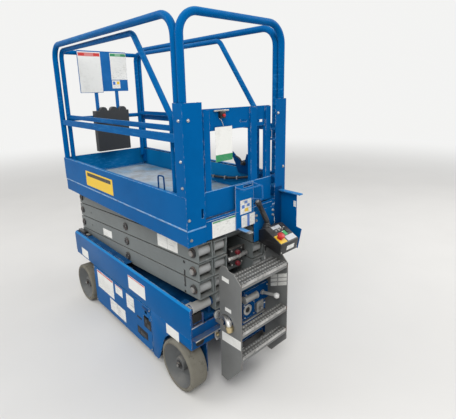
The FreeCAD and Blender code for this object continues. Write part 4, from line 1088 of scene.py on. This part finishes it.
def makeSidePanels(values):
    outer, top, bend, sheet, low = (values[k] for k in ("outer", "top", "bend", "sheet", "low"))
    rear, join = values["x"][0], low + values["overlap"]
    centre = (outer - bend, top - bend)
    section = [(outer, low)] + arc(centre, bend, 0, 90, 8)
    section += [(values["flangeIn"], top), (values["flangeIn"], top - sheet)]
    section += arc(centre, bend - sheet, 90, 0, 6) + [(outer - sheet, low)]
    lower = [(rear, join), (rear, values["cornerZ"])] + arc(*values["arch"]) + values["frontEdge"]
    lower.append((lower[-1][0], join))
    bm = bmesh.new()
    for side in (1, -1):
        prism(bm, [(side * y, z) for y, z in section], "x", values["x"], 0.8)
        prism(bm, lower, "y", (side * (outer - sheet), side * outer), 1.2)
    # faces on the rolled bend and the top flange take the lighter blue: a painted highlight
    for face in bm.faces:
        if face.calc_center_median().z > (top - 0.8 * bend) * mm:
            face.material_index = 1
    piece("sidePanels", bm, [bluePaint, bendHighlight], "chassis", replaced=("side_panels",))


makeSidePanels(sidePanels)


# sockets and slots of the tray doors

doorInlays = {
    "blocks": [
        # near-black patches: painted shade in the sockets and slots
        *[(x, (359.3, 360.5), z, 0.4, paint) for x, z, paint in (
            ((-272, -184), (209, 281), 0), ((-155, -92), (236, 250), 0), ((-221, -87), (116, 172), 0),
            ((-268, -172), (338, 360), 1))],
        *[(x, (360, 361.6), z, 0.7, 2) for x, z in (
            ((-262, -226), (216, 246)), ((-205, -128), (122, 148)), ((-120, -100), (128, 160)))],
    ],
    "lathes": [((-214, 360.2, 258), outward, [(0, 0), (0, 12), (1.6, 12), (2.2, 9), (2.2, 0)], 24, 2)],
    "bolts": [((x, 360, z), outward, 5, 3, False) for x in (-268, 560) for z in (360, 80)],
}


def makeDoorInlays(values):
    for side, hand in ((1, "left"), (-1, "right")):
        bm = bmesh.new()
        fill(bm, values, side)
        materials = [holeShade, shadeBlue, greyPlastic, wornSteel]
        piece("doorInlays_" + hand, bm, materials, "tray_" + hand)


makeDoorInlays(doorInlays)


# worn strips, openings filled with painted shade, bearing sleeves and pads at the corners of the chassis

rearCorners = {"mirrored": {
    "blocks": [
        ((-693.6, -664), (277, 347), (455, 521)), ((-693.6, -680), (280, 314), (350, 378)),
        ((-734.7, -733.3), (150, 353.7), (383.7, 390.3), 0.5, 1),
        ((-700.9, -699.6), (270, 353.7), (447.4, 453), 0.5, 1),
        ((-694, -640), (306, 345), (566.2, 570), 1.2, 2), ((672, 868), (308, 344), (575.9, 580), 1.6),
        ((748, 870), (310, 342), (579.5, 590), 5, 3), ((690, 724), (314, 336), (580, 583), 1.2, 1),
    ],
    "prisms": [([(282, 324), (318, 324), (329, 336), (329, 366), (318, 379), (282, 379), (271, 366), (271, 336)],
        "x", (-700.6, -699.2), 0.2)],
    "lathes": [((-672, 212.5, 551), outward, [(0, 20), (0, 28.4), (3, 29.4), (8, 28.4), (118, 28.4), (122, 29.4),
        (126, 28.4), (126, 20)], 44, 2)],
}}
assemble("rearCorners", rearCorners, [holeShade, wornSteel, silverPaint, blackPlastic], "chassis")


# crease of the skirt, bead of the toe boards, column bolts, frame handle, ledge and shield plates; the light blue
# strips, the bead and the fold cap are painted highlights, and the dark plate on the shield is painted shadow

platformTrim = {
    "mirrored": {
        "blocks": [((-690, 908), (365.6, 370.3), (1189.6, 1193.4), 1.4, 3)],
        "prisms": [
            ([(369.9, 1018), (371.3, 1022), (371.3, 1025), (369.9, 1027)], "x", (-730, 908), 0.3),
            ([(256, 1018), (256, 1026), (372.4, 1026), (372.4, 1018)], "x", (-735.2, -734.1), 0.4),
        ],
        "bolts": [((x, 372.4, z), outward, 6.2, 1) for x, z in ((-708, 1368), (-706, 1560), (-712, 1240))],
    },
    "blocks": [
        ((-734.8, -712), (-255, 250), (1040, 1040.8), 0.3), ((-712, -655), (-255, 250), (1040, 1040.2), 0, 2),
        ((-893.2, -734.5), (-344.3, -311.7), (1093.5, 1101.5), 3, 3),
        # dark plate on the shield: painted shadow; light blue cap on the outlet shelf: painted highlight
        ((-736.4, -734.4), (-343, -279), (866, 1122), 0.8, 2), ((-825.4, -735), (3.6, 34.4), (943.6, 945.2), 0.6),
        ((-826.2, -804), (3.3, 34.7), (939.4, 945.8), 0.8, 1),
    ],
    "tubes": [([(-462, 352, 1192), (-462, 352, 1250), (-466, 352, 1262), (-512, 352, 1265), (-518, 352, 1255),
        (-518, 352, 1192)], 4.2, 2, 3)],
    "bolts": [((-734.3, y, z), rearward, 6.5, 1)
        for y, z in ((360, 1078), (352, 972), (-352, 1240), (-300, 1560), (340, 1560))],
}
assemble("platformTrim", platformTrim, [highlightBlue, wornSteel, shadeBlue, bendHighlight], "platform")


# bracket with its knob on the extension's right board

railBracket = {
    "prisms": [([(-486, 1150), (-486, 1212), (-470, 1284), (-452, 1284), (-440, 1246), (-400, 1232), (-318, 1292),
        (-300, 1282), (-350, 1204), (-372, 1150)], "y", (-330.7, -325), 1.4)],
    "lathes": [((-430, -325, 1222), outward, [(0, 0), (0, 16), (6, 16), (8, 12), (22, 12), (24, 9), (24, 0)], 28, 1)],
    "tubes": [([(-430, -306, 1222), (-424, -303, 1246), (-400, -302, 1262), (-372, -303, 1268)], 5, 1, 3)],
}
assemble("railBracket", railBracket, [shadeBlue, blackPaint], "extension")


# corrugated conduit clipped along the extension's board

conduit = {
    "start": (-96, -322.4, 1085), "pitch": 6.2, "rings": 72, "sag": 0.0003, "sagFrom": 36,
    "ring": [(0, 6.6), (1.6, 8.4), (3.4, 8.4), (5, 6.6), (6.3, 6.6)],
    "clips": (4, 24, 44, 64), "clipSize": (5, 12), "clipY": (-330.9, -312.5),
}


def makeConduit(values):
    bm = bmesh.new()
    x0, y, z0 = values["start"]
    route = []
    for k in range(values["rings"]):
        run = k * values["pitch"]
        route.append((x0 - run, y, z0 + values["sag"] * (values["sagFrom"] + run) ** 2))
    for here, after in zip(route, route[1:]):
        lathe(bm, here, Vector(after) - Vector(here), values["ring"], 14)
    wide, tall = values["clipSize"]
    for k in values["clips"]:
        x, y, z = route[k]
        block(bm, (x - wide, x + wide), values["clipY"], (z - tall, z + tall), 1.5, 1)
    piece("conduit", bm, [blackPlastic, wornSteel], "extension")


makeConduit(conduit)
print("added pieces ready")
